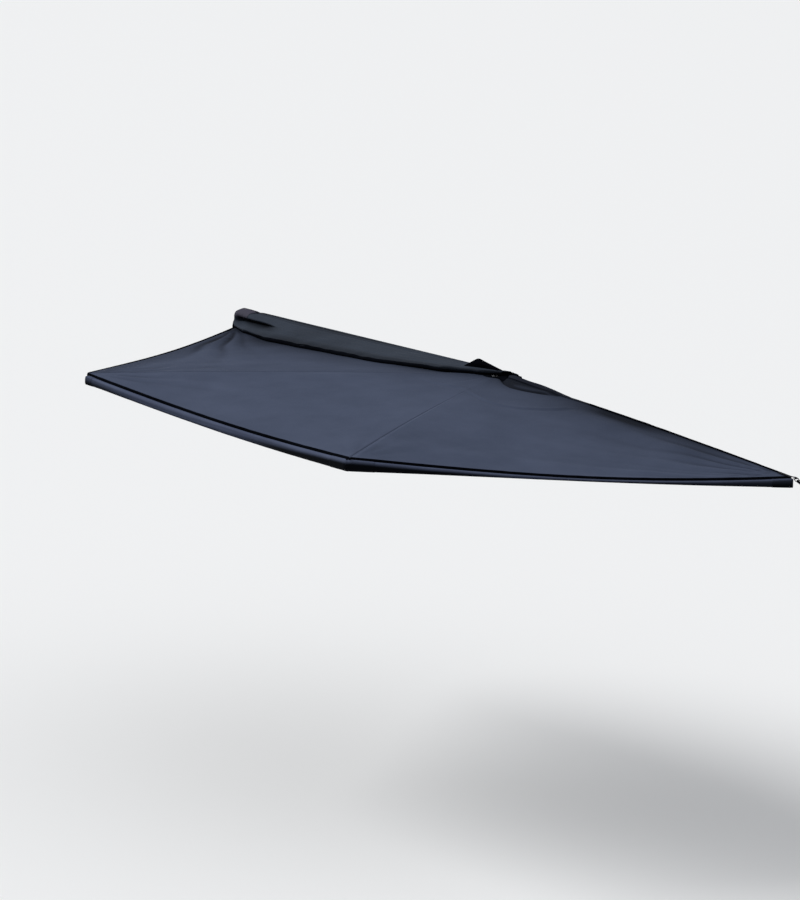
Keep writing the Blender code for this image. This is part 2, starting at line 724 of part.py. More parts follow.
def make_edge(name, first, start, end, width, heights, top, steps=14, mitres=()):
    """A soft edge: an oval section carried just outside a panel's outer edge.

    It runs from share start to share end of the edge, and its top stands over the canopy by top. mitres holds
    the arms where it is cut off along the arm, to meet the next roll.
    """
    rings = []
    sides = 12
    length = (Vector(panel_point(first, 1.0, 1.0)) - Vector(panel_point(first, 0.0, 1.0))).length
    for i in range(steps + 1):
        u = start + (end - start) * i / steps
        held = min(max(u, 0.0), 1.0)
        here = Vector(panel_point(first, held, 1.0))
        ahead = Vector(panel_point(first, min(held + 0.01, 1.0), 1.0))
        behind = Vector(panel_point(first, max(held - 0.01, 0.0), 1.0))
        tangent = (ahead - behind).normalized()
        side = Vector((tangent.y, -tangent.x, 0)).normalized()
        if side.dot(Vector((here.x, here.y, 0))) < 0:
            side = -side
        height = through_three(heights, held)
        middle = here + tangent * (u - held) * length + side * (width / 2 + 2 * GAP)
        middle.z += top - height / 2
        ring = []
        for k in range(sides):
            turn = 2 * math.pi * k / sides
            across = side * (width / 2) * math.cos(turn)
            ring.append(middle + across + Vector((0, 0, height / 2 * math.sin(turn))))
        for arm in mitres:
            if abs(u - (arm - first)) < 0.5 / steps:
                ring = [mitred(point, tangent, arm, first) for point in ring]
        rings.append(ring)
    loft(name, rings, EDGE_CLOTH, pivot)


def mitred(point, tangent, arm, first):
    """Slides a point along the edge on to the upright plane along an arm, less the gap there."""
    turn = math.radians(ARMS[arm]["angle"])
    normal = Vector((-math.sin(turn), math.cos(turn), 0)) * (1 if first == arm else -1)
    if normal.dot(tangent) * (1 if first == arm else -1) < 0:
        normal = -normal
    return point + tangent * ((MITRE_GAP - point.dot(normal)) / tangent.dot(normal))


# Cover
cover_axis = frame_at("cover_axis", (0, *COVER_HINGE))


def smooth_between(points, x):
    """A value at x on a curve with no corners through (x, value) points."""
    for (x0, v0), (x1, v1) in zip(points, points[1:]):
        if x <= x1:
            break
    t = min(max((x - x0) / (x1 - x0), 0.0), 1.0)
    return v0 + (v1 - v0) * (t * 0.45 + 0.55 * t * t * (3 - 2 * t))


def cover_line(x):
    """The cover's section at x: points (y, z) on its upper side, from the groove to the loose edge."""
    fall_length, fall = END_DROP
    front, rear = COVER_EDGE[0][0], COVER_EDGE[-1][0]
    over_hub = min(max((x - COVER_OVER_HUB[0]) / COVER_OVER_HUB[1], 0.0), 1.0)
    crown = COVER_CROWN[0] + (COVER_CROWN[1] - COVER_CROWN[0]) * (x - front) / (rear - front)
    crown += COVER_HUB_RISE * over_hub - fall * max(0.0, 1 - (x - front) / fall_length) ** 2
    reach = smooth_between(COVER_EDGE, x)
    lip_y = -reach
    under = COVER_EDGE_LIFT + COVER_CLOTH
    lip = canopy_height(x, lip_y) + under
    start = RAIL_BACK - 0.030
    points = [COVER_HINGE, (RAIL_BACK - 0.016, crown - 0.003), (start, crown)]
    for share in COVER_SHARES:
        y = start + (lip_y - start) * share
        straight = crown + (lip + COVER_LIP_ROUND - crown) * share + COVER_BULGE * math.sin(math.pi * share)
        clear = canopy_height(x, y) + under if y < PIVOT_Y - ARMS[1]["offset"] else 0.0
        hub = COVER_OVER_BOLTS * over_hub
        points.append((y, max(straight, clear, hub)))
    points += [(lip_y + 0.002, lip + COVER_LIP_ROUND / 2), (lip_y, lip)]
    return points


def make_cover():
    rings = []
    front, rear = COVER_EDGE[0][0], COVER_EDGE[-1][0]
    for i in range(COVER_STEPS + 1):
        x = front + (rear - front) * i / COVER_STEPS
        line = [Vector((x, y - COVER_HINGE[0], z - COVER_HINGE[1])) for y, z in cover_line(x)]
        under = []
        for k, point in enumerate(line):
            run = (line[min(k + 1, len(line) - 1)] - line[max(k - 1, 0)]).normalized()
            under.append(point + Vector((0, -run.z, run.y)) * COVER_CLOTH)
        rings.append(line + under[::-1])
    loft("cover_flap", rings, COVER_CLOTH_MATERIAL, cover_axis)


def cover_height(x, y):
    """Height of the cover's upper side at a place."""
    line = cover_line(x)
    for (y0, z0), (y1, z1) in zip(line, line[1:]):
        if y1 <= y <= y0:
            return z0 + (z1 - z0) * (y0 - y) / (y0 - y1)
    return line[-1][1]


def make_peak_flap():
    """The cover's rear end flap: a triangle that stands on the cover, leaning on its own stiffness."""
    (left_x, left_y), (peak_x, peak_y), (right_x, right_y) = PEAK_FLAP
    steps = 6
    outline = []
    for i in range(steps + 1):
        x = left_x + (right_x - left_x) * i / steps
        y = left_y + (right_y - left_y) * i / steps
        outline.append((x, y, cover_height(x, y) + PEAK_FOOT))
    outline += [
        (right_x - 0.010, right_y - 0.004, outline[-1][2] + 0.010),
        (peak_x + 0.010, peak_y + 0.004, PEAK_HEIGHT - 0.004),
        (peak_x, peak_y, PEAK_HEIGHT),
        (peak_x - 0.008, peak_y - 0.004, PEAK_HEIGHT - 0.004),
        (left_x + 0.006, left_y + 0.002, outline[0][2] + 0.008),
    ]
    across = Vector((right_y - left_y, left_x - right_x, 0)).normalized()
    outline = [(x, y - COVER_HINGE[0], z - COVER_HINGE[1]) for x, y, z in outline]
    extruded("cover_peak", outline, across * PEAK_CLOTH, COVER_CLOTH_MATERIAL, cover_axis)


def make_cover_end():
    """The closed end of the cover, which stays on the rail's front end."""
    top = COVER_CROWN[0] - END_DROP[1] - 0.006
    low = canopy_height(COVER_EDGE[0][0], -COVER_EDGE[0][1]) - 0.042
    outline = [
        (RAIL_BACK, 0.0),
        (RAIL_BACK, top - 0.012),
        (RAIL_BACK - 0.012, top - 0.002),
        (RAIL_BACK - 0.030, top),
        (RAIL_BACK - 0.060, top - 0.018),
        (RAIL_BACK - 0.086, top - 0.066),
        (RAIL_BACK - 0.100, low + 0.046),
        (RAIL_BACK - 0.104, low + 0.014),
        (RAIL_BACK - 0.094, low),
        (RAIL_BACK - 0.070, low),
        (RAIL_BACK - 0.040, -0.004),
    ]
    x = -RAIL_LENGTH / 2 - 2 * GAP - CAP_THICKNESS - 0.0025
    extruded("cover_end_front", [(x, y, z) for y, z in outline], (0.002, 0, 0), COVER_CLOTH_MATERIAL)


def make_cradle():
    """A nylon tray on the rail's face, under the first arm near its tip."""
    arm = ARMS[1]
    near, far = 2.280, 2.320
    low = min(arm_height(arm, near), arm_height(arm, far)) - TUBE_HEIGHT / 2 - 0.0018
    half = TUBE_WIDTH / 2 + 0.0018
    middle = PIVOT_Y - arm["offset"]
    wall = 0.003
    face = RAIL_FACE - GAP
    outline = [
        (face, low - wall),
        (face, CRADLE_TOP),
        (face - wall, CRADLE_TOP),
        (face - wall, low + 0.004),
        (face - wall - 0.004, low),
        (middle + half + wall + 0.004, low),
        (middle + half + wall, low + 0.004),
        (middle + half + wall, low + 0.024),
        (middle + half, low + 0.024),
        (middle + half, low),
        (middle - half, low),
        (middle - half, low + 0.024),
        (middle - half - wall, low + 0.024),
        (middle - half - wall, low - wall + 0.002),
        (middle - half - wall + 0.002, low - wall),
    ]
    x = PIVOT_X - far
    extruded("arm_1_cradle", [(x, y, z) for y, z in outline], (far - near, 0, 0), NYLON)


def make_straps():
    for label, x in STRAP_PLACES.items():
        top = 0.030
        box(
            f"stow_strap_{label}",
            (x - STRAP_WIDTH / 2, RAIL_FACE - GAP - STRAP_THICKNESS, top - STRAP_LENGTH),
            (x + STRAP_WIDTH / 2, RAIL_FACE - GAP, top),
            WEBBING,
        )


# Guy line: a webbing tab over the corner, a ring, a rope and the hook at its far end
def rope_direction():
    heading, dip = math.radians(ROPE_HEADING), math.radians(ROPE_DIP)
    return Vector((math.cos(heading) * math.cos(dip), math.sin(heading) * math.cos(dip), -math.sin(dip)))


def bent_wire(name, points, wire, material, closed):
    """A round wire or rope through points."""
    curve = bpy.data.curves.new(name, "CURVE")
    curve.dimensions = "3D"
    curve.bevel_depth = wire
    curve.bevel_resolution = 2
    curve.use_fill_caps = not closed
    spline = curve.splines.new("POLY")
    spline.points.add(len(points) - 1)
    for slot, point in zip(spline.points, points):
        slot.co = (*point, 1.0)
    spline.use_cyclic_u = closed
    piece = bpy.data.objects.new(name, curve)
    bpy.context.scene.collection.objects.link(piece)
    curve.materials.append(material)
    return piece


def rounded_loop(centre, across, along, half_width, half_length, radius, turns=5):
    """Points round a rectangle with round corners."""
    points = []
    for corner, (side, end) in enumerate(((1, 1), (-1, 1), (-1, -1), (1, -1))):
        for i in range(turns + 1):
            turn = math.pi / 2 * (corner + i / turns)
            points.append(
                centre
                + across * (side * (half_width - radius) + radius * math.cos(turn))
                + along * (end * (half_length - radius) + radius * math.sin(turn))
            )
    return points


def make_guy_line():
    arm = ARMS[4]
    tip = Vector(fan_point(arm["angle"], arm["offset"], LOOP_PLACE, 0.0)) + Vector((PIVOT_X, PIVOT_Y, 0))
    corner_top = arm_height(arm, arm["reach"]) + TUBE_HEIGHT / 2 + CANOPY_LIFT + CLOTH
    tip.z = corner_top + 0.002
    inner, outer = RING_WIRE + 0.0008, RING_WIRE + 0.0022
    start = PIVOT_X + arm["reach"] - TAB_REACH
    slope = (arm_height(arm, arm["reach"]) - arm_height(arm, arm["reach"] - TAB_REACH)) / TAB_REACH
    upper = [(start, tip.z + outer - slope * (tip.x - start)), (tip.x, tip.z + outer)]
    turns = 8
    bend_out = [
        (tip.x + outer * math.sin(math.pi * i / turns), tip.z + outer * math.cos(math.pi * i / turns))
        for i in range(1, turns + 1)
    ]
    bend_in = [
        (tip.x + inner * math.sin(math.pi * i / turns), tip.z + inner * math.cos(math.pi * i / turns))
        for i in range(turns, -1, -1)
    ]
    outline = upper + bend_out + [(tip.x - 0.012, tip.z - outer), (tip.x - 0.012, tip.z - inner)] + bend_in
    outline.append((start, tip.z + inner - slope * (tip.x - start)))
    side = tip.y - TAB_WIDTH / 2
    extruded("guy_tab", [(x, side, z) for x, z in outline], (0, TAB_WIDTH, 0), WEBBING)

    along = rope_direction()
    hang = Vector((along.x, 0, along.z)).normalized()
    centre = tip + hang * RING_HALF[1]
    ring = rounded_loop(centre, Vector((0, 1, 0)), hang, *RING_HALF, RING_CORNER)
    bent_wire("guy_ring", ring, RING_WIRE, STEEL, closed=True)

    rope_start = tip + hang * (2 * RING_HALF[1] + RING_WIRE + ROPE_CLEAR)
    rope = []
    for i in range(ROPE_POINTS):
        t = i / (ROPE_POINTS - 1)
        rope.append(rope_start + along * ROPE_LENGTH * t - Vector((0, 0, ROPE_SAG * 4 * t * (1 - t))))
    bent_wire("guy_rope", rope, ROPE_DIAMETER / 2, ROPE, closed=False)

    level = along.cross(Vector((0, 0, 1))).normalized()
    centre = rope[-1] + along * (HOOK_WIRE + ROPE_CLEAR + HOOK_HALF[1])
    hook = rounded_loop(centre, level, along, *HOOK_HALF, HOOK_HALF[0] * 0.95, turns=8)
    bent_wire("guy_hook", hook, HOOK_WIRE, STEEL, closed=True)


def main():
    make_rail()
    for place, x in BRACKET_PLACES.items():
        make_bracket(place, x)
    make_hub()
    make_fixed_arm()
    for number in (2, 3, 4):
        make_tube(number)
        make_knuckle(number)
    for number in (2, 3):
        make_ties(number)
    make_sleeve(1, "inner_hem", 0.175)
    make_sleeve(4, "rear_hem", 0.110)
    for first in (1, 2, 3):
        make_panel(first)
    make_edge("edge_hem_1", 1, 0.012, 0.985, HEM_SIZE, (HEM_SIZE,) * 3, 0.002)
    make_edge("edge_roll_2", 2, 0.008, 1.0, ROLL_WIDTH, ROLL_HEIGHTS[2], ROLL_TOP, mitres=(3,))
    make_edge("edge_roll_3", 3, 0.0, 1.004, ROLL_WIDTH, ROLL_HEIGHTS[3], ROLL_TOP, mitres=(3,))
    make_cover()
    make_peak_flap()
    make_cover_end()
    make_cradle()
    make_straps()
    make_guy_line()


main()
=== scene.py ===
# %% [markdown]
# A 180 degree fan awning. A back rail bolts to the side of a vehicle's roof rack and carries a hub at its
# rear end. Four arms meet there: one is fixed beside the rail, and three swing round one upright bolt. They
# spread three panels of coated cloth. A cover held in the rail's groove lies over the first arm, and wraps
# the folded awning for travel. The rail, arms, hub and fasteners are measured parts that come with the
# frame. What is made here is the cloth, the webbing, the rope and every surface's finish.

# %% Load the measured frame
import json
import math
import random

import bmesh
import bpy
from mathutils import Matrix, Vector, noise
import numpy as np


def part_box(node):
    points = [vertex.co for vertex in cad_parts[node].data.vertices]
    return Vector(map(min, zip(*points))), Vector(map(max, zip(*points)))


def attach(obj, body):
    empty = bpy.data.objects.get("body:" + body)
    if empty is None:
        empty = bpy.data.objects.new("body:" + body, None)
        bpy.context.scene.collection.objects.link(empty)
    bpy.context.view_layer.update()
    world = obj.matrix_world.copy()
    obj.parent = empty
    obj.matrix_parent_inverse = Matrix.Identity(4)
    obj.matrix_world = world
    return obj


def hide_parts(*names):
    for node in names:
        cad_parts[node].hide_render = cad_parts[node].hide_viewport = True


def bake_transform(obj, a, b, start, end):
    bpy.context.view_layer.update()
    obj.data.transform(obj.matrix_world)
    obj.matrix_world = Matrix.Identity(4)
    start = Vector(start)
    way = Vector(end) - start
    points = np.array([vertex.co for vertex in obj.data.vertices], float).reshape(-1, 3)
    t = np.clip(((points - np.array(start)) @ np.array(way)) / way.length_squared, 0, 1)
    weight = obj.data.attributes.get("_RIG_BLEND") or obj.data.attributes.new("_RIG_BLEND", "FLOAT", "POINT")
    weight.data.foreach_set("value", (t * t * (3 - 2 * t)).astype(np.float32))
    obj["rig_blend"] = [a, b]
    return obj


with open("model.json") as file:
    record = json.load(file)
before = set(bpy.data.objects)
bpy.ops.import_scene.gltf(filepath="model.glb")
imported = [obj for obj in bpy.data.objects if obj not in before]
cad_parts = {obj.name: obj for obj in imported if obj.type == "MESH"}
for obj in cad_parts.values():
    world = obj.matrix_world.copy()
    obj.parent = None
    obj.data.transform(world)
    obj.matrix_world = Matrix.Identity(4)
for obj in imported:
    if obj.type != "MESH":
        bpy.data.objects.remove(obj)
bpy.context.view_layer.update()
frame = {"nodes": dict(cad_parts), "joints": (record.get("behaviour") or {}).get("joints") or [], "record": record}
random.seed(7)
PIVOT = Vector(frame["joints"][0]["pos_m"])
RAIL_LOW, RAIL_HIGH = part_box("back_rail")
print("pivot", PIVOT[:], "rail", RAIL_LOW[:], RAIL_HIGH[:])

# %% [markdown]
# The camera stands behind the vehicle and to its left, a long way off, and looks a little down, so its lens
# is long. The sensor's 36 mm lie along the picture's long side. The camera leans by just under a degree.

# %% Camera
CAMERA_PLACE = (17.6278, -14.616, 4.4077)
CAMERA_HEADING = 50.082
CAMERA_DIP = 12.181
CAMERA_LEAN = 0.915
CAMERA_LENS = 163.96  # millimetres
CAMERA_SENSOR = 36  # millimetres
CAMERA_SIGHT = 300  # metres, to past the far side of the floor

camera_data = bpy.data.cameras.new("camera")
camera_data.lens = CAMERA_LENS
camera_data.sensor_width = CAMERA_SENSOR
camera_data.clip_end = CAMERA_SIGHT
camera = bpy.data.objects.new("camera", camera_data)
bpy.context.scene.collection.objects.link(camera)
camera.matrix_world = (
    Matrix.Translation(CAMERA_PLACE)
    @ Matrix.Rotation(math.radians(CAMERA_HEADING), 4, "Z")
    @ Matrix.Rotation(math.radians(90 - CAMERA_DIP), 4, "X")
    @ Matrix.Rotation(math.radians(CAMERA_LEAN), 4, "Z")
)
bpy.context.scene.camera = camera
print("camera at", CAMERA_PLACE, "with a lens of", CAMERA_LENS, "mm")

# %% [markdown]
# A material is a small tree of nodes. One function adds a node, sets it and joins its inputs, and another
# turns the sRGB hex colours that we see and write into the linear numbers that the renderer works in.


# %% Colours and nodes
def linear(hex_colour):
    """An sRGB hex colour as linear RGBA."""
    parts = [int(hex_colour[i : i + 2], 16) / 255 for i in (1, 3, 5)]
    return [c / 12.92 if c <= 0.04045 else ((c + 0.055) / 1.055) ** 2.4 for c in parts] + [1.0]


def add_node(tree, kind, settings=None, inputs=None):
    """Adds a node. An input given as a socket is linked, and any other value is set."""
    node = tree.nodes.new(kind)
    for name, value in (settings or {}).items():
        setattr(node, name, value)
    for name, value in (inputs or {}).items():
        if isinstance(value, bpy.types.NodeSocket):
            tree.links.new(value, node.inputs[name])
        else:
            node.inputs[name].default_value = value
    return node


def start_material(name, roughness, metallic=0.0, **more):
    """A material with its Principled shader, and the tree that its patterns are added to."""
    material = bpy.data.materials.new(name)
    material.use_nodes = True
    tree = material.node_tree
    shader = tree.nodes["Principled BSDF"]
    shader.inputs["Roughness"].default_value = roughness
    shader.inputs["Metallic"].default_value = metallic
    for socket, value in more.items():
        shader.inputs[socket.replace("_", " ")].default_value = value
    return material, tree, shader


WAVE_TURN = 20  # a Wave texture of scale 1 turns by this many radians in a metre


def wave_scale(period):
    """The scale at which a Wave texture's bands repeat every period, in metres."""
    return math.tau / WAVE_TURN / period


# %% [markdown]
# Oxford cloth is a plain basket weave of thick polyester yarn, coated so that it sheds water. The coating
# gives a soft, dull sheen, and handling leaves fine crinkles and slightly paler patches. The yarn is 0.6 mm
# apart on the real cloth. It is drawn at 2.4 mm here, because anything finer than that would not show.


# %% Woven and coated cloths
YARN, YARN_RELIEF = 0.0024, 0.0004
CRINKLE, CRINKLE_RELIEF = 1 / 28, 0.004  # metres
WORN_PATCH = 0.3125  # metres


def oxford_cloth(name, colour, worn, roughness, crinkle, gloss=0.03, dark=None):
    material, tree, shader = start_material(name, roughness)
    shader.inputs["Specular IOR Level"].default_value = gloss
    place = add_node(tree, "ShaderNodeTexCoord")
    patches = add_node(
        tree,
        "ShaderNodeTexNoise",
        None,
        {"Vector": place.outputs["Object"], "Scale": 1 / WORN_PATCH, "Detail": 5.0, "Roughness": 0.6},
    )
    mixed = add_node(tree, "ShaderNodeValToRGB", None, {"Fac": patches.outputs["Fac"]})
    for stop, position, shown in zip(mixed.color_ramp.elements, (0.3, 0.75), (colour, worn)):
        stop.position = position
        stop.color = linear(shown)
    shown = mixed.outputs["Color"]
    if dark:  # the piece's own attribute says where the cloth is painted darker, mostly as painted shade
        amount = add_node(tree, "ShaderNodeAttribute", {"attribute_name": "dark"})
        toned = add_node(
            tree,
            "ShaderNodeMix",
            {"data_type": "RGBA"},
            {"Factor": amount.outputs["Fac"], "A": shown, "B": linear(dark)},
        )
        shown = toned.outputs["Result"]
    tree.links.new(shown, shader.inputs["Base Color"])
    weave = []
    for direction in ("X", "Y"):
        bands = add_node(
            tree,
            "ShaderNodeTexWave",
            {"bands_direction": direction},
            {"Vector": place.outputs["UV"], "Scale": wave_scale(YARN)},
        )
        weave.append(bands.outputs["Fac"])
    yarn = add_node(tree, "ShaderNodeMath", {"operation": "MAXIMUM"}, {0: weave[0], 1: weave[1]})
    creases = add_node(
        tree,
        "ShaderNodeTexNoise",
        None,
        {"Vector": place.outputs["Object"], "Scale": 1 / CRINKLE, "Detail": 6.0, "Roughness": 0.62},
    )
    low = add_node(
        tree,
        "ShaderNodeBump",
        None,
        {"Height": creases.outputs["Fac"], "Strength": crinkle, "Distance": CRINKLE_RELIEF},
    )
    high = add_node(
        tree,
        "ShaderNodeBump",
        None,
        {
            "Height": yarn.outputs["Value"],
            "Strength": 0.35,
            "Distance": YARN_RELIEF,
            "Normal": low.outputs["Normal"],
        },
    )
    tree.links.new(high.outputs["Normal"], shader.inputs["Normal"])
    rough = add_node(
        tree,
        "ShaderNodeMapRange",
        None,
        {"Value": patches.outputs["Fac"], "To Min": roughness - 0.06, "To Max": roughness + 0.08},
    )
    tree.links.new(rough.outputs["Result"], shader.inputs["Roughness"])
    return material


# %% [markdown]
# Webbing is woven across its width in thick ribs, so it has fine ridges square to its length. The rope is a
# braid of 16 strands, whose strands are shaped in the mesh, and its yarn only mottles its colour. Thread is
# a dull twist.


# %% Webbing, rope and thread
RIB_RELIEF, SPUN_RELIEF = 0.0006, 0.0003


def ribbed_webbing(name, colour, worn, rib):
    material, tree, shader = start_material(name, 0.82)
    shader.inputs["Specular IOR Level"].default_value = 0.2
    place = add_node(tree, "ShaderNodeTexCoord")
    ribs = add_node(
        tree,
        "ShaderNodeTexWave",
        {"bands_direction": "Y"},
        {"Vector": place.outputs["UV"], "Scale": wave_scale(rib), "Distortion": 0.6, "Detail": 1.0},
    )
    colours = add_node(
        tree,
        "ShaderNodeMix",
        {"data_type": "RGBA"},
        {"Factor": ribs.outputs["Fac"], "A": linear(colour), "B": linear(worn)},
    )
    tree.links.new(colours.outputs["Result"], shader.inputs["Base Color"])
    bump = add_node(
        tree, "ShaderNodeBump", None, {"Height": ribs.outputs["Fac"], "Strength": 0.7, "Distance": RIB_RELIEF}
    )
    tree.links.new(bump.outputs["Normal"], shader.inputs["Normal"])
    return material


def spun_polyester(name, colour, worn, speckle):
    material, tree, shader = start_material(name, 0.85)
    shader.inputs["Specular IOR Level"].default_value = 0.05
    place = add_node(tree, "ShaderNodeTexCoord")
    yarn = add_node(
        tree,
        "ShaderNodeTexNoise",
        None,
        {"Vector": place.outputs["Object"], "Scale": 1 / speckle, "Detail": 3.0},
    )
    colours = add_node(
        tree,
        "ShaderNodeMix",
        {"data_type": "RGBA"},
        {"Factor": yarn.outputs["Fac"], "A": linear(colour), "B": linear(worn)},
    )
    tree.links.new(colours.outputs["Result"], shader.inputs["Base Color"])
    bump = add_node(
        tree,
        "ShaderNodeBump",
        None,
        {"Height": yarn.outputs["Fac"], "Strength": 0.4, "Distance": SPUN_RELIEF},
    )
    tree.links.new(bump.outputs["Normal"], shader.inputs["Normal"])
    return material


# %% [markdown]
# The rail and the arms are extruded aluminium, anodised. The die leaves very fine lines along the length,
# and the satin etch before anodising keeps the gloss low. The brackets and hub plates are steel with a fine
# powder coat, which has a slight orange peel. Zinc plating on the bolts shows cloudy patches. The caps are
# glass-filled nylon, matt from the mould.


# %% Metals and nylon
DIE_LINES, LINE_RELIEF = (3.0, 420.0, 420.0), 0.0002  # in a metre: few along the length, many across
DULL_CLOUD = 1 / 9  # metres


def extruded_aluminium(name, colour, dull, roughness):
    material, tree, shader = start_material(name, roughness, 0.9)
    place = add_node(tree, "ShaderNodeTexCoord")
    stretched = add_node(
        tree, "ShaderNodeMapping", None, {"Vector": place.outputs["Object"], "Scale": DIE_LINES}
    )
    lines = add_node(
        tree, "ShaderNodeTexNoise", None, {"Vector": stretched.outputs["Vector"], "Scale": 1.0, "Detail": 4.0}
    )
    clouds = add_node(
        tree,
        "ShaderNodeTexNoise",
        None,
        {"Vector": place.outputs["Object"], "Scale": 1 / DULL_CLOUD, "Detail": 5.0},
    )
    colours = add_node(
        tree,
        "ShaderNodeMix",
        {"data_type": "RGBA"},
        {"Factor": clouds.outputs["Fac"], "A": linear(colour), "B": linear(dull)},
    )
    tree.links.new(colours.outputs["Result"], shader.inputs["Base Color"])
    rough = add_node(
        tree,
        "ShaderNodeMapRange",
        None,
        {"Value": lines.outputs["Fac"], "To Min": roughness - 0.07, "To Max": roughness + 0.09},
    )
    tree.links.new(rough.outputs["Result"], shader.inputs["Roughness"])
    bump = add_node(
        tree,
        "ShaderNodeBump",
        None,
        {"Height": lines.outputs["Fac"], "Strength": 0.15, "Distance": LINE_RELIEF},
    )
    tree.links.new(bump.outputs["Normal"], shader.inputs["Normal"])
    return material


def grained(name, colour, worn, roughness, metallic, grain, patch, depth):
    """A surface with a fine even grain and broad soft patches: powder coat, zinc plate or moulded nylon."""
    material, tree, shader = start_material(name, roughness, metallic)
    if not metallic:
        shader.inputs["Specular IOR Level"].default_value = 0.25
    place = add_node(tree, "ShaderNodeTexCoord")
    fine = add_node(
        tree,
        "ShaderNodeTexNoise",
        None,
        {"Vector": place.outputs["Object"], "Scale": 1 / grain, "Detail": 2.0},
    )
    broad = add_node(
        tree,
        "ShaderNodeTexNoise",
        None,
        {"Vector": place.outputs["Object"], "Scale": 1 / patch, "Detail": 6.0},
    )
    colours = add_node(
        tree,
        "ShaderNodeMix",
        {"data_type": "RGBA"},
        {"Factor": broad.outputs["Fac"], "A": linear(colour), "B": linear(worn)},
    )
    tree.links.new(colours.outputs["Result"], shader.inputs["Base Color"])
    rough = add_node(
        tree,
        "ShaderNodeMapRange",
        None,
        {"Value": broad.outputs["Fac"], "To Min": roughness - 0.1, "To Max": roughness + 0.1},
    )
    tree.links.new(rough.outputs["Result"], shader.inputs["Roughness"])
    bump = add_node(
        tree, "ShaderNodeBump", None, {"Height": fine.outputs["Fac"], "Strength": 0.3, "Distance": depth}
    )
    tree.links.new(bump.outputs["Normal"], shader.inputs["Normal"])
    return material


# %% [markdown]
# The colours are what the eye sees on each finish in plain light, and a second, slightly worn one. A cloth
# that carries painted shade has a third, dark colour. The grains and patches of the moulded and coated parts are
# in metres.

# %% The finishes
FINISHES = {
    "canopy_cloth": oxford_cloth(
        "Slate coated oxford, woven", "#434b5e", "#4c5468", 0.68, 0.25, dark="#151922"
    ),
    "edge_cloth": oxford_cloth(
        "Slate coated oxford edging, woven", "#464d62", "#555d73", 0.66, 0.35, dark="#0a0c11"
    ),
    "cover_cloth": oxford_cloth(
        "Charcoal coated cover cloth, woven", "#2c323c", "#373e49", 0.6, 0.4, dark="#090b10"
    ),
    "webbing": ribbed_webbing("Black polyester webbing, woven", "#121317", "#1f2126", 0.0022),
    "rope": spun_polyester("Black polyester rope, braided", "#0c0d10", "#1b1d22", 0.0012),
    "rail_aluminium": extruded_aluminium("Dark anodised aluminium, extruded", "#3a3e44", "#44484f", 0.4),
    "arm_aluminium": extruded_aluminium("Silver anodised aluminium, extruded", "#a3a7ac", "#b3b6ba", 0.36),
    "bracket_steel": grained(
        "Black powder-coated steel", "#191a1d", "#222327", 0.48, 0.0, grain=0.0016, patch=0.05, depth=0.0004
    ),
    "zinc_steel": grained(
        "Zinc-plated steel", "#a9adaf", "#c3c2ba", 0.34, 1.0, grain=0.0012, patch=0.012, depth=0.0001
    ),
    "nylon": grained(
        "Glass-filled nylon, moulded", "#15161a", "#1d1e22", 0.56, 0.0, grain=0.0014, patch=0.03, depth=0.0002
    ),
}
BLACK_BINDING = oxford_cloth("Black binding tape, woven", "#07080c", "#0e1016", 0.75, 0.3, 0.0)
END_CLOTH = oxford_cloth("Grey end cloth, woven", "#3e3d48", "#4a4854", 0.62, 0.35)
THREAD = spun_polyester("Charcoal sewing thread, spun", "#1b1d23", "#31343c", 0.0012)
SLATE_THREAD = spun_polyester("Slate sewing thread, spun", "#434b5e", "#4c5468", 0.0012)
print("finishes:", ", ".join([*FINISHES, "binding", "end cloth", "two threads"]))

# %% [markdown]
# A pale floor lies two metres under the rail, where the ground is. It is pale to the camera and in
# reflections. To the light that it throws back it is darker, as ground is, so the undersides stay dim.

# %% Floor
FLOOR_DEPTH = 2.0
FLOOR_SIZE = 240.0
GROUND_SEEN = "#f3f3f2"
GROUND_BOUNCE = "#50504e"

floor_shape = bmesh.new()
bmesh.ops.create_grid(floor_shape, x_segments=1, y_segments=1, size=FLOOR_SIZE / 2)
bmesh.ops.translate(floor_shape, verts=floor_shape.verts, vec=(0, 0, -FLOOR_DEPTH))
floor_mesh = bpy.data.meshes.new("floor")
floor_shape.to_mesh(floor_mesh)
floor_shape.free()
floor = bpy.data.objects.new("floor", floor_mesh)
bpy.context.scene.collection.objects.link(floor)
floor_finish, tree, shader = start_material("Pale painted floor", 0.9)
ray = add_node(tree, "ShaderNodeLightPath")
seen = add_node(
    tree,
    "ShaderNodeMath",
    {"operation": "MAXIMUM"},
    {0: ray.outputs["Is Camera Ray"], 1: ray.outputs["Is Glossy Ray"]},
)
seen = add_node(
    tree,
    "ShaderNodeMath",
    {"operation": "MAXIMUM"},
    {0: seen.outputs[0], 1: ray.outputs["Is Transmission Ray"]},
)
tone = add_node(
    tree,
    "ShaderNodeMix",
    {"data_type": "RGBA"},
    {"Factor": seen.outputs[0], "A": linear(GROUND_BOUNCE), "B": linear(GROUND_SEEN)},
)
tree.links.new(tone.outputs["Result"], shader.inputs["Base Color"])
floor_mesh.materials.append(floor_finish)
print("floor", FLOOR_DEPTH, "m down")

# %% [markdown]
# Overcast light comes from all over the sky. As on a real overcast day the sky is three times as bright
# overhead as near the horizon, so faces that look up are lit most. A very broad lamp adds a little from the
# left.

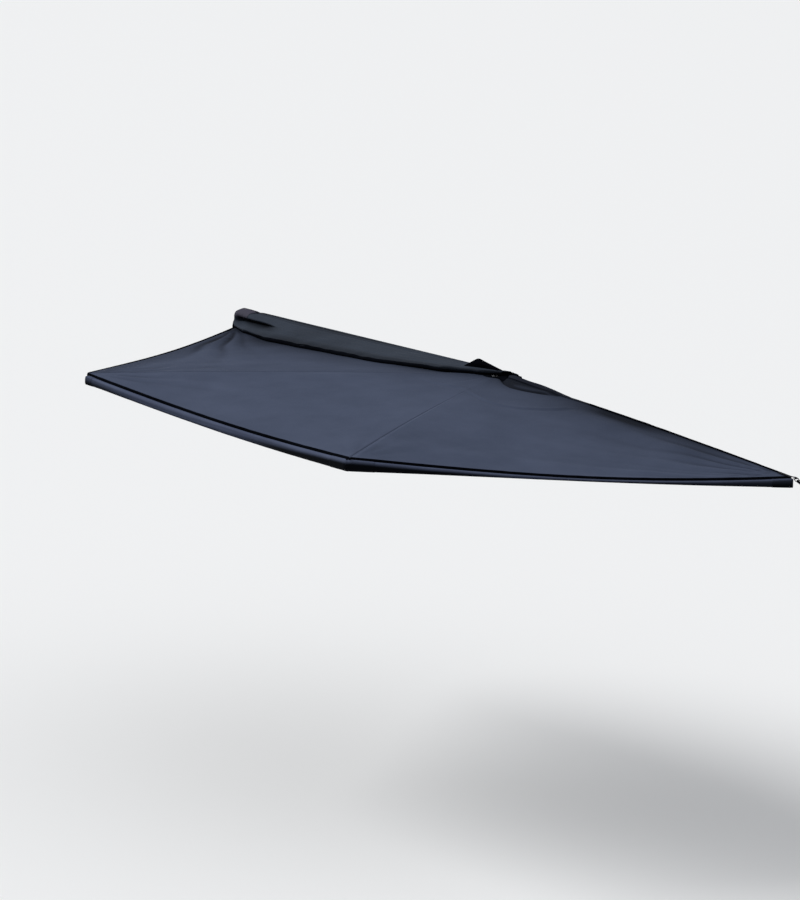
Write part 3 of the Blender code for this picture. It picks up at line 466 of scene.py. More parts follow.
# %% Sky and lamp
SKY_HORIZON, SKY_OVERHEAD = 0.25, 0.78
SKY_SEEN = 0.88  # as the camera sees it
SKY_COLOUR = "#f6f8fc"
world = bpy.data.worlds.new("Overcast sky")
world.use_nodes = True
sky = world.node_tree
direction = add_node(sky, "ShaderNodeTexCoord")
upward = add_node(sky, "ShaderNodeSeparateXYZ", None, {"Vector": direction.outputs["Generated"]})
level = add_node(
    sky,
    "ShaderNodeMapRange",
    None,
    {"Value": upward.outputs["Z"], "To Min": SKY_HORIZON, "To Max": SKY_OVERHEAD},
)
seen = add_node(sky, "ShaderNodeLightPath")
shown = add_node(
    sky,
    "ShaderNodeMix",
    {"data_type": "FLOAT"},
    {"Factor": seen.outputs["Is Camera Ray"], "A": level.outputs["Result"], "B": SKY_SEEN},
)
sky.nodes["Background"].inputs["Color"].default_value = linear(SKY_COLOUR)
sky.links.new(shown.outputs["Result"], sky.nodes["Background"].inputs["Strength"])
bpy.context.scene.world = world

LAMP_STRENGTH, LAMP_SPREAD, LAMP_HEADING = 2.0, 30, (1.0, 0.55, -1.0)  # its spread in degrees
lamp_data = bpy.data.lights.new("broad lamp from the left", "SUN")
lamp_data.energy = LAMP_STRENGTH
lamp_data.angle = math.radians(LAMP_SPREAD)
lamp = bpy.data.objects.new("broad lamp from the left", lamp_data)
bpy.context.scene.collection.objects.link(lamp)
lamp.rotation_euler = Vector(LAMP_HEADING).to_track_quat("-Z", "Y").to_euler()
bpy.context.scene.view_settings.view_transform = "Standard"
print("sky", SKY_HORIZON, "to", SKY_OVERHEAD, "and lamp", LAMP_STRENGTH)

# %% [markdown]
# New pieces start from a grid, because cloth is one. Each of the grid's points is moved to where a function
# puts its shares u and v. For a tube, the grid is rolled up until its two long sides meet. The grid's map
# is kept in metres, so that a weave has the same size on every piece, and every point remembers its share
# of the fan, for folding.


# %% Sheets and tubes from grids
def smooth(low, high, value):
    """0 below low, 1 above high, and an S-shaped rise between them."""
    t = min(max((value - low) / (high - low), 0.0), 1.0)
    return t * t * (3 - 2 * t)


def mound(value, middle, half):
    """1 at the middle, and next to nothing from two half widths away from it."""
    return math.exp(-(((value - middle) / half) ** 2))


def grid_shape(columns, rows, place, size, share_of=lambda u, v: u):
    shape = bmesh.new()
    shape.loops.layers.uv.new("cloth")
    shape.verts.layers.float.new("share")
    bmesh.ops.create_grid(shape, x_segments=columns, y_segments=rows, size=0.5, calc_uvs=True)
    flat_map = shape.loops.layers.uv["cloth"]
    share = shape.verts.layers.float["share"]
    for vert in shape.verts:
        u, v = vert.co.x + 0.5, vert.co.y + 0.5
        vert[share] = min(max(share_of(u, v), 0.0), 1.0)
        vert.co = place(u, v)
    for face in shape.faces:
        for loop in face.loops:
            loop[flat_map].uv = (loop[flat_map].uv.x * size[0], loop[flat_map].uv.y * size[1])
    return shape


SAME_PLACE = 1e-6
CAP_INSET, CAP_RAISE = 0.0015, 0.001  # the flat end of a tube is rounded by this much


def rolled_tube(columns, rows, place, size, share_of=lambda u, v: u, ends="closed"):
    """A tube: u runs along it and v round it. Open ends that meet are joined."""
    shape = grid_shape(columns, rows, place, size, share_of)
    bmesh.ops.remove_doubles(shape, verts=shape.verts, dist=SAME_PLACE)
    if ends == "closed":
        filled = bmesh.ops.holes_fill(shape, edges=shape.edges[:], sides=0)["faces"]
        bmesh.ops.inset_individual(
            shape, faces=filled, thickness=CAP_INSET, depth=CAP_RAISE, use_even_offset=True
        )
    bmesh.ops.recalc_face_normals(shape, faces=shape.faces)
    return shape


def put(name, shape, finish, thickness=0.0, offset=-1):
    """Makes the shape a piece. A sheet gets its thickness below it, or to both sides at offset 0."""
    mesh = bpy.data.meshes.new(name)
    shape.to_mesh(mesh)
    shape.free()
    mesh.materials.append(FINISHES[finish] if isinstance(finish, str) else finish)
    mesh.shade_smooth()
    piece = bpy.data.objects.new(name, mesh)
    bpy.context.scene.collection.objects.link(piece)
    if thickness:
        wall = piece.modifiers.new("Cloth thickness", "SOLIDIFY")
        wall.thickness = thickness
        wall.offset = offset
    return piece


def darken(piece, amount_at):
    """Stores how dark the cloth is at each of the piece's points, from its place and its share."""
    shares = [point.value for point in piece.data.attributes["share"].data]
    values = [amount_at(point.co, share) for point, share in zip(piece.data.vertices, shares)]
    piece.data.attributes.new("dark", "FLOAT", "POINT").data.foreach_set("value", values)
    return piece


def facing_up(shape):
    """Turns a sheet over if most of it faces down."""
    if sum(face.normal.z * face.calc_area() for face in shape.faces) < 0:
        bmesh.ops.reverse_faces(shape, faces=shape.faces)
    return shape


# %% [markdown]
# The fan's geometry is the frame's: each arm has an angle from the folded place, a sideways offset from the
# bolt, a reach, a fall or rise at its tip and a slight upward bow. A panel hangs between two arms and sags
# in the middle.

# %% The fan's surface
FAN_STEP = 60.0
TUBE_WIDTH = 0.020
TUBE_HEIGHT = 0.038
ARMS = {
    1: {"angle": 0.0, "offset": -0.07, "reach": 2.42, "rise": -0.104, "bow": 0.006},
    2: {"angle": FAN_STEP, "offset": -0.03, "reach": 2.22, "rise": 0.052, "bow": 0.016},
    3: {"angle": 2 * FAN_STEP, "offset": 0.0, "reach": 2.22, "rise": -0.010, "bow": 0.020},
    4: {"angle": 3 * FAN_STEP, "offset": 0.03, "reach": 2.22, "rise": -0.160, "bow": 0.012},
}
BODIES = {1: "root", 2: "arm_2", 3: "arm_3", 4: "arm_4"}
CLOTH_OVER_TUBE = 0.0055
CANOPY_INNER = 0.050
CANOPY_INNER_AT_RAIL = 0.098
CLEAR_OF_RAIL = 0.4  # beside the rail the first panel starts further out, up to this share of its angle
HUB_RISE = 0.005
HUB_RISE_REACH = 0.40
PANEL_SAG = {1: 0.018, 2: 0.032, 3: 0.048}
SAG_GROWTH = 1.6  # the sag grows with this power of the distance from the bolt
EDGE_HOLLOW = 0.022


def arm_height(arm, along):
    t = along / arm["reach"]
    return PIVOT.z + arm["rise"] * t + 4 * arm["bow"] * t * (1 - t)


def fan_point(angle, offset, along, height):
    turn = math.radians(angle)
    x = -along * math.cos(turn) + offset * math.sin(turn)
    y = -along * math.sin(turn) - offset * math.cos(turn)
    return Vector((PIVOT.x + x, PIVOT.y + y, height))


def between(first, key, u):
    return ARMS[first][key] + (ARMS[first + 1][key] - ARMS[first][key]) * u


def panel_reach(first, u):
    half = math.radians(FAN_STEP / 2)
    lean = math.radians(FAN_STEP * (u - 0.5))
    return between(first, "reach", u) * math.cos(half) / math.cos(lean) - EDGE_HOLLOW * 4 * u * (1 - u)


def panel_height(first, u, share):
    share = min(share, 1.0)
    a, b = ARMS[first], ARMS[first + 1]
    held = arm_height(a, share * a["reach"]) * (1 - u) + arm_height(b, share * b["reach"]) * u
    sag = PANEL_SAG[first] * 4 * u * (1 - u) * share**SAG_GROWTH
    over_hub = HUB_RISE * max(0.0, 1 - share * a["reach"] / HUB_RISE_REACH) ** 2
    return held + TUBE_HEIGHT / 2 + CLOTH_OVER_TUBE - sag + over_hub


def panel_point(first, u, s):
    """A point of the taut panel. u goes across from one arm to the next, and s out from the bolt."""
    reach = panel_reach(first, u)
    inner = CANOPY_INNER
    if first == 1:
        inner += (CANOPY_INNER_AT_RAIL - CANOPY_INNER) * max(0.0, 1 - u / CLEAR_OF_RAIL)
    share = inner / reach + (1 - inner / reach) * s
    angle, offset = between(first, "angle", u), between(first, "offset", u)
    return fan_point(angle, offset, reach * share, panel_height(first, u, share))


CORNERS = {n: fan_point(arm["angle"], arm["offset"], arm["reach"], 0.0) for n, arm in ARMS.items()}
print("corners", {n: tuple(round(c, 3) for c in p) for n, p in CORNERS.items()})

# %% [markdown]
# The guy line comes first, because its route is the frame's. A webbing tab at the corner holds a steel
# ring. The rope leaves the ring and runs down and away under tension, with the slightest sag, to a hook at
# its far end. Of the whole line, 0.30 m belongs to the part. Sixteen strands cross in its braid, so small
# diamonds cover it.

# %% Guy rope
ROPE_DIAMETER, ROPE_LENGTH, ROPE_SAG, ROPE_POINTS = 0.007, 0.30, 0.004, 19
ROPE_HEADING, ROPE_DIP = 20.0, 36.0
RING_HALF_DEPTH, RING_WIRE, HOOK_WIRE, ROPE_CLEAR = 0.010, 0.002, 0.0025, 0.0018
LOOP_PLACE = 2.268  # from the bolt to the ring's near side
LOOP_RISE = 0.002  # of the ring's near side over the canopy
heading, dip = math.radians(ROPE_HEADING), math.radians(ROPE_DIP)
ROPE_RUN = Vector((math.cos(heading) * math.cos(dip), math.sin(heading) * math.cos(dip), -math.sin(dip)))
corner_top = arm_height(ARMS[4], ARMS[4]["reach"]) + TUBE_HEIGHT / 2 + CLOTH_OVER_TUBE
RING_TOP = fan_point(ARMS[4]["angle"], ARMS[4]["offset"], LOOP_PLACE, corner_top + LOOP_RISE)
RING_HANG = Vector((ROPE_RUN.x, 0, ROPE_RUN.z)).normalized()
RING_FAR = RING_TOP + RING_HANG * 2 * RING_HALF_DEPTH
rope_start = RING_FAR + RING_HANG * (RING_WIRE + ROPE_CLEAR)
BRAID_PITCH = 0.022
BRAID_STRANDS = 8  # in each direction
BRAID_RELIEF = 0.00022


def rope_route(t):
    return rope_start + ROPE_RUN * ROPE_LENGTH * t - Vector((0, 0, ROPE_SAG * 4 * t * (1 - t)))


rope_points = [rope_route(i / (ROPE_POINTS - 1)) for i in range(ROPE_POINTS)]


def tube_point(route, u, v, radius):
    """A point at a turn round a route, at a radius from it."""
    here = route(u)
    run = (route(min(u + 0.004, 1.0)) - route(max(u - 0.004, 0.0))).normalized()
    side = run.cross(Vector((0.3, -0.2, 1.0))).normalized()
    up = side.cross(run)
    turn = math.tau * v
    return here + side * radius * math.cos(turn) + up * radius * math.sin(turn)


def braid_point(u, v):
    turn, twist = math.tau * v, math.tau * u * ROPE_LENGTH / BRAID_PITCH
    left = math.cos(BRAID_STRANDS * (turn + twist))
    right = math.cos(BRAID_STRANDS * (turn - twist))
    return tube_point(rope_route, u, v, ROPE_DIAMETER / 2 - BRAID_RELIEF + BRAID_RELIEF * max(left, right))


rope = put("guy_rope_braid", rolled_tube(460, 48, braid_point, (ROPE_LENGTH, 0.022)), "rope")
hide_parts("guy_rope")
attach(rope, "arm_4")

# %% [markdown]
# At each end the rope goes round the metal and back on itself, and a whipping of thread holds it. The loop
# is a tube on a route with two straight legs and a half turn. The whipping is a tube whose radius ripples
# once for each turn.

# %% Ends of the rope
EYE_ROPE = 0.0033  # the rope's radius where it is worked round the metal
EYE_BEND = 0.0036  # from the metal wire's side to the middle of the rope
EYE_NECK, EYE_NECK_HALF = 0.014, 0.0022  # where the loop closes: along the rope, and beside its middle
EYE_LEG = 0.22  # the share of the route that each straight leg takes
WHIPPING_LENGTH, WHIPPING_RADIUS, WHIPPING_THREAD, WHIPPING_TURNS = 0.020, 0.0046, 0.00028, 15
WHIPPING_ENDS = 0.25  # it narrows by this share at its ends


def make_eye(name, bar, away, cross, bend):
    """A loop of rope round a bar. away points from the bar along the rope, and cross is square to both."""

    def route(t):
        if t < EYE_LEG:
            return (bar + away * EYE_NECK + cross * EYE_NECK_HALF).lerp(bar + cross * bend, t / EYE_LEG)
        if t > 1 - EYE_LEG:
            back = (t - (1 - EYE_LEG)) / EYE_LEG
            return (bar - cross * bend).lerp(bar + away * EYE_NECK - cross * EYE_NECK_HALF, back)
        turn = math.pi * (t - EYE_LEG) / (1 - 2 * EYE_LEG)
        return bar + cross * bend * math.cos(turn) - away * bend * math.sin(turn)

    shape = rolled_tube(60, 14, lambda u, v: tube_point(route, u, v, EYE_ROPE), (0.05, 0.016))
    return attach(put(name, shape, "rope"), "arm_4")


def make_whipping(name, middle_share):
    """Turns of thread wound tight round the rope."""

    def point(u, v):
        at = middle_share + (u - 0.5) * WHIPPING_LENGTH / ROPE_LENGTH
        ends = 1 - WHIPPING_ENDS * (abs(2 * u - 1) ** 6)
        turns = WHIPPING_THREAD * math.cos(math.tau * u * WHIPPING_TURNS)
        return tube_point(rope_route, at, v, (WHIPPING_RADIUS + turns) * ends)

    shape = rolled_tube(120, 20, point, (WHIPPING_LENGTH, 0.03))
    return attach(put(name, shape, THREAD), "arm_4")


ring_cross = RING_HANG.cross(Vector((0, 1, 0))).normalized()
eye_near = make_eye("rope_eye_ring", RING_FAR, ROPE_RUN, ring_cross, RING_WIRE + EYE_BEND)
whipping_near = make_whipping("rope_whipping_ring", 0.060)
hook_near = rope_points[-1] + ROPE_RUN * (HOOK_WIRE + ROPE_CLEAR)
hook_cross = ROPE_RUN.cross(ROPE_RUN.cross(Vector((0, 0, 1)))).normalized()
eye_far = make_eye("rope_eye_hook", hook_near, -ROPE_RUN, hook_cross, HOOK_WIRE + EYE_BEND)
whipping_far = make_whipping("rope_whipping_hook", 0.940)
print("rope", sum((b - a).length for a, b in zip(rope_points, rope_points[1:])), "m long")

# %% [markdown]
# A strip of webbing is sewn on top of the corner. It goes out round the ring and back under itself, so one
# grid that follows the strip's middle line makes it, and Solidify gives it its thickness to both sides.

# %% Webbing tab of the guy line
TAB_WIDTH, TAB_REACH, TAB_THICKNESS = 0.018, 0.070, 0.0014
TAB_TURN, TAB_BACK = 0.0035, 0.016  # radius round the ring's wire, and length under it
TAB_LIFT, TAB_DROP = 0.0006, 0.0042  # over the cloth, and its fall from the ring to the cloth
tab_root = ARMS[4]["reach"] - TAB_REACH
tab_slope = (arm_height(ARMS[4], ARMS[4]["reach"]) - arm_height(ARMS[4], tab_root)) / TAB_REACH


def tab_line(v):
    """The folded strip's middle: out on top of the corner, round the ring and back under it."""
    out_length = LOOP_PLACE - tab_root
    bend = math.pi * TAB_TURN
    run = v * (out_length + bend + TAB_BACK)
    if run < out_length:
        short = out_length - run
        drop = TAB_DROP * smooth(0.004, 0.040, short)
        return RING_TOP + Vector((-short, 0, TAB_TURN - tab_slope * short + TAB_LIFT - drop))
    if run < out_length + bend:
        turn = (run - out_length) / TAB_TURN
        return RING_TOP + Vector((math.sin(turn), 0, math.cos(turn))) * TAB_TURN
    back = run - out_length - bend
    return RING_TOP + Vector((-back, 0, -TAB_TURN))


shape = grid_shape(8, 90, lambda u, v: tab_line(v) + Vector((0, (u - 0.5) * TAB_WIDTH, 0)), (TAB_WIDTH, 0.15))
tab = put("guy_webbing_tab", shape, "webbing", TAB_THICKNESS, offset=0)
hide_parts("guy_tab")
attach(tab, "arm_4")
print("tab", TAB_WIDTH, "m wide")

# %% [markdown]
# Taut cloth is never smooth. Folds fan out from each corner, where the arm's tip pushes the cloth outward,
# and die away within a metre. A crease runs round the hub, where the panels were folded in the bag, and
# broad soft waves cross the rest. All of it is one height field over the ground, so that it runs on across
# the seams.

# %% The folds in the canopy
# Each: the corner's arm, the folds' heading and spread in degrees, waves across it, height, reach
CORNER_FOLDS = (
    (1, -46.0, 14.0, 6.0, 0.0150, 0.75),
    (2, 82.0, 24.0, 5.0, 0.0080, 0.42),
    (2, 36.0, 22.0, 5.0, 0.0070, 0.42),
    (3, 120.0, 34.0, 7.0, 0.0050, 0.35),
    (4, -128.0, 6.0, 3.0, 0.0120, 0.60),
    (4, -143.0, 11.0, 3.0, 0.0130, 0.45),
    (4, -166.0, 12.0, 4.0, 0.0130, 0.55),
)
FOLD_START = (0.02, 0.20)  # they rise between these distances from the corner
HUB_CREASE = (0.41, 0.74, 0.020, 0.0050)  # its radius outside and behind, its half width, its height
GROOVE_REACH, GROOVE_OUT = 0.50, 0.092  # the groove beside the last arm: its length, and how far out it runs
GROOVE_SWELL, GROOVE_DEPTH, GROOVE_HALF = 0.008, 0.0080, 0.012
WAVES = ((1.6, 0.0090), (4.5, 0.0040), (11.0, 0.0013))  # per metre, and height
REAR_RIDGE = (0.17, 0.08, 0.016)  # beside the last arm: its distance, half width and height


def corner_folds(x, y):
    height = 0.0
    for arm, heading, spread, count, tall, reach in CORNER_FOLDS:
        corner = CORNERS[arm]
        far = math.hypot(x - corner.x, y - corner.y)
        turn = math.degrees(math.atan2(y - corner.y, x - corner.x)) - heading
        turn = (turn + 180.0) % 360.0 - 180.0
        if abs(turn) > 3 * spread or far > 4 * reach:
            continue
        drift = 0.8 * noise.noise(Vector((far * 2.0, arm * 3.0, heading)))
        wave = math.cos(math.pi * (turn / spread * count / 2 + drift))
        fade = smooth(*FOLD_START, far) * math.exp(-far / reach) * math.exp(-((turn / spread) ** 2))
        height += tall * wave * fade
    return height


def hub_crease(x, y):
    east, north = x - PIVOT.x, y - PIVOT.y
    turn = math.degrees(math.atan2(north, east))
    near, far, half, tall = HUB_CREASE
    line = near + (far - near) * smooth(-72.0, -30.0, turn)
    line += 0.02 * noise.noise(Vector((turn / 18.0, 0.0, 5.0)))
    away = (math.hypot(east, north) - line) / half
    ends = smooth(-112.0, -90.0, turn) * (1 - smooth(-14.0, -4.0, turn))
    return tall * ends * (math.exp(-away * away) - 0.8 * math.exp(-((away - 1.6) ** 2)))


def groove_line(east):
    """How far to the bolt's side of the last arm the groove lies, at a distance along it."""
    return -GROOVE_OUT * math.sin(math.pi * east / GROOVE_REACH) ** 1.6


def rear_groove(x, y):
    """Spare cloth swells up beside the last arm near the hub, and a groove runs along its outer side."""
    east, north = x - PIVOT.x, y - PIVOT.y
    if not 0 < east < GROOVE_REACH:
        return 0.0
    line = groove_line(east)
    edge = ARMS[4]["offset"]
    ends = smooth(0.03, 0.12, east) * (1 - smooth(0.8 * GROOVE_REACH, GROOVE_REACH, east))
    groove = -GROOVE_DEPTH * math.exp(-(((north - line) / GROOVE_HALF) ** 2))
    swell = 0.0
    if line < north < edge:
        swell = GROOVE_SWELL * math.sin(math.pi * (north - line) / (edge - line)) ** 0.7
    return ends * (groove + swell)


GATHERS = (17.0, 0.0022, 0.28)  # how closely they stand, their height, and how far out they reach


def gathers(x, y):
    """Small folds that run out from the hub, where three panels meet the bolt."""
    often, tall, reach = GATHERS
    east, north = x - PIVOT.x, y - PIVOT.y
    far = math.hypot(east, north)
    turn = math.atan2(north, east)
    wave = math.sin(turn * often + 2.5 * noise.noise(Vector((turn * 2.0, far, 2.0))))
    return tall * wave * smooth(0.06, 0.16, far) * math.exp(-far / reach)


def soft_waves(x, y):
    return sum(tall * noise.noise(Vector((x * often, y * often * 0.8, often))) for often, tall in WAVES)


def rear_ridge(x, y):
    """The cloth stands a little higher at a distance from the last arm, and dips to it."""
    east, north = x - PIVOT.x, y - PIVOT.y
    distance, half, tall = REAR_RIDGE
    ends = smooth(0.55, 0.95, east) * (1 - smooth(1.5, 2.0, east))
    drift = 0.04 * noise.noise(Vector((east * 1.5, 2.0, 6.0)))
    return tall * ends * math.exp(-(((ARMS[4]["offset"] - north - distance - drift) / half) ** 2))


HELD_BY_ARM = 0.09  # the cloth is free of folds on an arm, and has all of them this far from it
HELD_BY_EDGE = 0.75  # the share of a fold that the stiff outer edge holds down
HUB_FOLD_ON_ARM = 0.35  # the share of the hub's folds that runs on across the arms


def canopy_relief(first, u, s, x, y):
    """How far the cloth stands off the taut surface. It is held down along the arms and at its edges."""
    from_arm = min(u, 1 - u) * math.radians(FAN_STEP) * s * ARMS[first]["reach"]
    free = smooth(0.0, HELD_BY_ARM, from_arm)
    free *= 1 - HELD_BY_EDGE * smooth(0.93, 1.0, s)
    at_hub = smooth(0.0, 0.04, s)
    near_hub = (HUB_FOLD_ON_ARM + (1 - HUB_FOLD_ON_ARM) * free) * (hub_crease(x, y) + gathers(x, y))
    groove = rear_groove(x, y) + rear_ridge(x, y) if first == 3 else 0.0
    return at_hub * (free * (corner_folds(x, y) + soft_waves(x, y)) + near_hub + groove)


def canopy_point(first, u, s):
    point = panel_point(first, u, s)
    point.z += canopy_relief(first, u, s, point.x, point.y)
    return point


# %% [markdown]
# Each panel bends between the two arms that carry it. A point's share of the angle is also its share of the
# fold, so the whole panel gathers into a narrow pleat as its arms close. The three panels meet along the
# arms.

# %% Canopy panels
CANOPY_CLOTH = 0.0012
ARM_HOLD = 0.015
PANEL_COLUMNS = 110
PANEL_ROWS = 150
ROW_CROWDING = 1.25  # rows stand closer together near the hub, where the folds are small


def cloth_height(first, u, share, x, y):
    """Height of the canopy's upper side, folds and all."""
    inner = CANOPY_INNER / panel_reach(first, u)
    s = max((share - inner) / (1 - inner), 0.0)
    return panel_height(first, u, share) + canopy_relief(first, u, s, x, y)


def folded_share(share, place):
    """A point's share of the fold. The cloth over a tube stays with its arm."""
    width = math.hypot(place.x - PIVOT.x, place.y - PIVOT.y) * math.radians(FAN_STEP)
    held = min(ARM_HOLD / width, 0.3)
    return min(max((share - held) / (1 - 2 * held), 0.0), 1.0)


def fold_between(piece, first):
    """Bends a piece of the fan between arm first and the next, by each point's share of the angle."""
    shares = [
        folded_share(amount.value, point.co)
        for amount, point in zip(piece.data.attributes["share"].data, piece.data.vertices)
    ]
    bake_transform(piece, BODIES[first], BODIES[first + 1], start=CORNERS[first], end=CORNERS[first + 1])
    piece.data.attributes["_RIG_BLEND"].data.foreach_set("value", shares)
    return piece


# Painted shade on the cloth beside the cover, for each panel, and further out on the second and third
BORDER_SHADE, BORDER_FADE = {1: 0.62, 2: 0.34, 3: 0.90}, 0.22
# Painted shade round the hub, less towards the third panel's tip, in the folds' valleys, by the first hem, over
# the first panel, in a streak beside the last arm, in the groove and at the foot of the bunched cloth
HUB_SHADE, TAIL_LESS_SHADE = 0.50, 0.64
FOLD_SHADE = {1: 0.46, 2: 0.42, 3: 0.42}
HEM_SHADE, FRONT_SHADE, REAR_SHADE_STREAK = 0.30, 0.10, 0.30
GROOVE_SHADE, GROOVE_SHADE_HALF, FOOT_SHADE = 0.85, 0.013, 0.95


def rear_shade(east, north):
    """Painted shade on the third panel: a streak beside the last arm, the groove, and the foot of the bunched
    cloth.
    """
    beside_arm = ARMS[4]["offset"] - north
    amount = REAR_SHADE_STREAK * math.exp(-(((beside_arm - 0.06) / 0.05) ** 2) - ((east - 1.05) / 0.25) ** 2)
    if 0 < east < GROOVE_REACH:
        line = groove_line(east)
        ends = smooth(0.05, 0.11, east) * (1 - smooth(0.75 * GROOVE_REACH, GROOVE_REACH, east))
        amount += GROOVE_SHADE * ends * math.exp(-(((north - line) / GROOVE_SHADE_HALF) ** 2))
        foot = -0.012 + 0.026 * smooth(0.20, 0.42, east)
        amount += FOOT_SHADE * smooth(0.04, 0.08, east) * smooth(foot - 0.022, foot, north)
        amount += (0.25 + 0.35 * (1 - smooth(0.10, 0.26, east))) * ends * smooth(line, line + 0.02, north)
    return amount


def front_shade(place):
    """Painted shade on the first panel: less at its front corner, and more along its hem."""
    corner = CORNERS[1]
    to_front = math.hypot(place.x - corner.x, place.y - corner.y)
    edge = (CORNERS[2] - corner).normalized()
    from_hem = abs((place.x - corner.x) * edge.y - (place.y - corner.y) * edge.x)
    less_shade = 1.2 * FRONT_SHADE * (1 - smooth(0.10, 0.60, to_front))
    return FRONT_SHADE - less_shade + HEM_SHADE * (1 - smooth(0.04, 0.18, from_hem))


def canopy_shade(first, place):
    """Painted shade beside the cover and the last arm, by the first hem and in the valleys of the folds."""
    east, north = place.x - PIVOT.x, place.y - PIVOT.y
    patchy = 1 + 0.4 * noise.noise(Vector((place.x * 2.2, place.y * 3.0, 7.0)))
    amount = FOLD_SHADE[first] * smooth(0.0, 0.007, -corner_folds(place.x, place.y))
    border = 0.17 + 0.23 * smooth(-1.3, -0.5, place.x) * (1 - smooth(0.85, 1.25, place.x))
    level = BORDER_SHADE[first]
    if first == 2:
        level += HUB_SHADE * (1 - smooth(0.4, 1.0, math.hypot(east, north)))
    if first == 3:
        level -= TAIL_LESS_SHADE * smooth(1.4, 2.1, east)
    amount += level * patchy * math.exp(-max(-place.y - border, 0.0) / BORDER_FADE)
    if first == 1:
        amount += front_shade(place)
    if first == 3:
        amount += rear_shade(east, north)
    return min(amount, 1.0)


for first in (1, 2, 3):
    shape = grid_shape(
        PANEL_COLUMNS,
        PANEL_ROWS,
        lambda u, v: canopy_point(first, u, v**ROW_CROWDING),
        (1.9, ARMS[first]["reach"]),
    )
    panel = put(f"canopy_cloth_{first}", facing_up(shape), "canopy_cloth", CANOPY_CLOTH)
    # the panel's painted shade, kept in its dark attribute
    darken(panel, lambda place, share: canopy_shade(first, place))
    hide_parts(f"canopy_panel_{first}")
    fold_between(panel, first)
    print(panel.name, len(panel.data.vertices), "points")

# %% [markdown]
# The panels are joined by flat-felled seams that lie along the tubes: a narrow strip of doubled cloth, held
# by two rows of stitches. Thread is drawn 1 mm thick, in stitches of 5 mm.

# %% Seams and stitches
SEAM_WIDTH = 0.016
SEAM_HEIGHTS = {2: 0.0010, 3: 0.0002}
SEAM_SINK = 0.0006  # its sides lie this far under the canopy's upper side
SEAM_SHADE = {2: 0.30, 3: 0.05}
SEAM_ROWS = {2: (0.0008, 0.0048), 3: (-0.00014, 0.0048)}  # its stitches: height, and place beside its middle
STITCH_LENGTH = 0.0050
STITCH_PITCH = 0.0078
STITCH_WIDTH = 0.0011


def stitch_row(shape, route, length, lift=0.0001, up=Vector((0, 0, 1))):
    """Adds a row of stitches along route(t), which gives a point and its share of the fan."""
    share = shape.verts.layers.float.get("share") or shape.verts.layers.float.new("share")
    count = int(length / STITCH_PITCH)
    for i in range(count):
        t = (i + 0.5) / count
        here, amount = route(t)
        ahead, _ = route(min(t + 0.4 / count, 1.0))
        behind, _ = route(max(t - 0.4 / count, 0.0))
        run = (ahead - behind).normalized()
        side = up.cross(run).normalized()
        rise = run.cross(side)
        turn = Matrix((run * STITCH_LENGTH, side * STITCH_WIDTH, rise * STITCH_WIDTH)).transposed().to_4x4()
        made = bmesh.ops.create_cube(shape, size=1.0, matrix=Matrix.Translation(here + rise * lift) @ turn)
        for vert in made["verts"]:
            vert[share] = min(max(amount, 0.0), 1.0)
    return shape


def seam_point(first, along, across, lift):
    """A point beside arm first's line, on top of the cloth and its folds."""
    arm = ARMS[first]
    here = fan_point(arm["angle"], arm["offset"] + across, along, 0.0)
    here.z = cloth_height(first, 0.0, along / arm["reach"], here.x, here.y) + lift
    return here


def seam_strip(u, v, number, start, end):
    """The strip's section is a low arch."""
    along = start + (end - start) * u
    across = (v - 0.5) * SEAM_WIDTH
    arch = max(0.0, 1 - (2 * v - 1) ** 4)
    return seam_point(number, along, across, (SEAM_HEIGHTS[number] + SEAM_SINK) * arch - SEAM_SINK)


for number in (2, 3):
    start, end = 0.085, ARMS[number]["reach"] - 0.012
    length = end - start
    shape = grid_shape(180, 6, lambda u, v: seam_strip(u, v, number, start, end), (length, SEAM_WIDTH))
    seam = put(f"arm_seam_{number}", facing_up(shape), "canopy_cloth", CANOPY_CLOTH)
    darken(seam, lambda place, share: SEAM_SHADE[number])
    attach(seam, BODIES[number])
    rows = bmesh.new()
    lift, beside = SEAM_ROWS[number]
    for across in (-beside, beside):
        stitch_row(rows, lambda t: (seam_point(number, start + length * t, across, lift), 0.0), length)
    stitches = put(f"arm_seam_stitches_{number}", rows, SLATE_THREAD)
    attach(stitches, BODIES[number])
print("seams on arms 2 and 3")

# %% [markdown]
# The first panel ends in a narrow black binding. The other two end in a wide rolled edge, thick at the
# corners, made by turning the cloth down and round a foam core. A black piping lies in the groove between
# the roll and the panel.

# %% Edge of the fan
HEM_SIZE = 0.010
ROLL_WIDTH = 0.036
ROLL_TOP = -0.005  # against the canopy's edge
ROLL_SINK = 0.009
ROLL_HEIGHTS = {2: (0.054, 0.053, 0.067), 3: (0.067, 0.022, 0.052)}  # at its start, middle and end
ROLL_ENDS = {2: (0.012, 1.0), 3: (0.0, 1.004)}
MITRE_GAP = 0.0012
MITRE_ARM = 3  # the two rolls meet over this arm's tip


def through_three(values, u):
    """A smooth line through three values, at the start, in the middle and at the end."""
    start, middle, end = values
    return start * (1 - u) * (1 - 2 * u) + middle * 4 * u * (1 - u) + end * u * (2 * u - 1)


def edge_frame(first, u):
    """At share u of a panel's outer edge: the point, the edge's direction and the way out from it."""
    held = min(max(u, 0.0), 1.0)
    here = panel_point(first, held, 1.0)
    run = panel_point(first, min(held + 0.01, 1.0), 1.0) - panel_point(first, max(held - 0.01, 0.0), 1.0)
    length = (panel_point(first, 1.0, 1.0) - panel_point(first, 0.0, 1.0)).length
    run.normalize()
    side = Vector((run.y, -run.x, 0)).normalized()
    if side.dot(Vector((here.x - PIVOT.x, here.y - PIVOT.y, 0))) < 0:
        side = -side
    return here + run * (u - held) * length, run, side


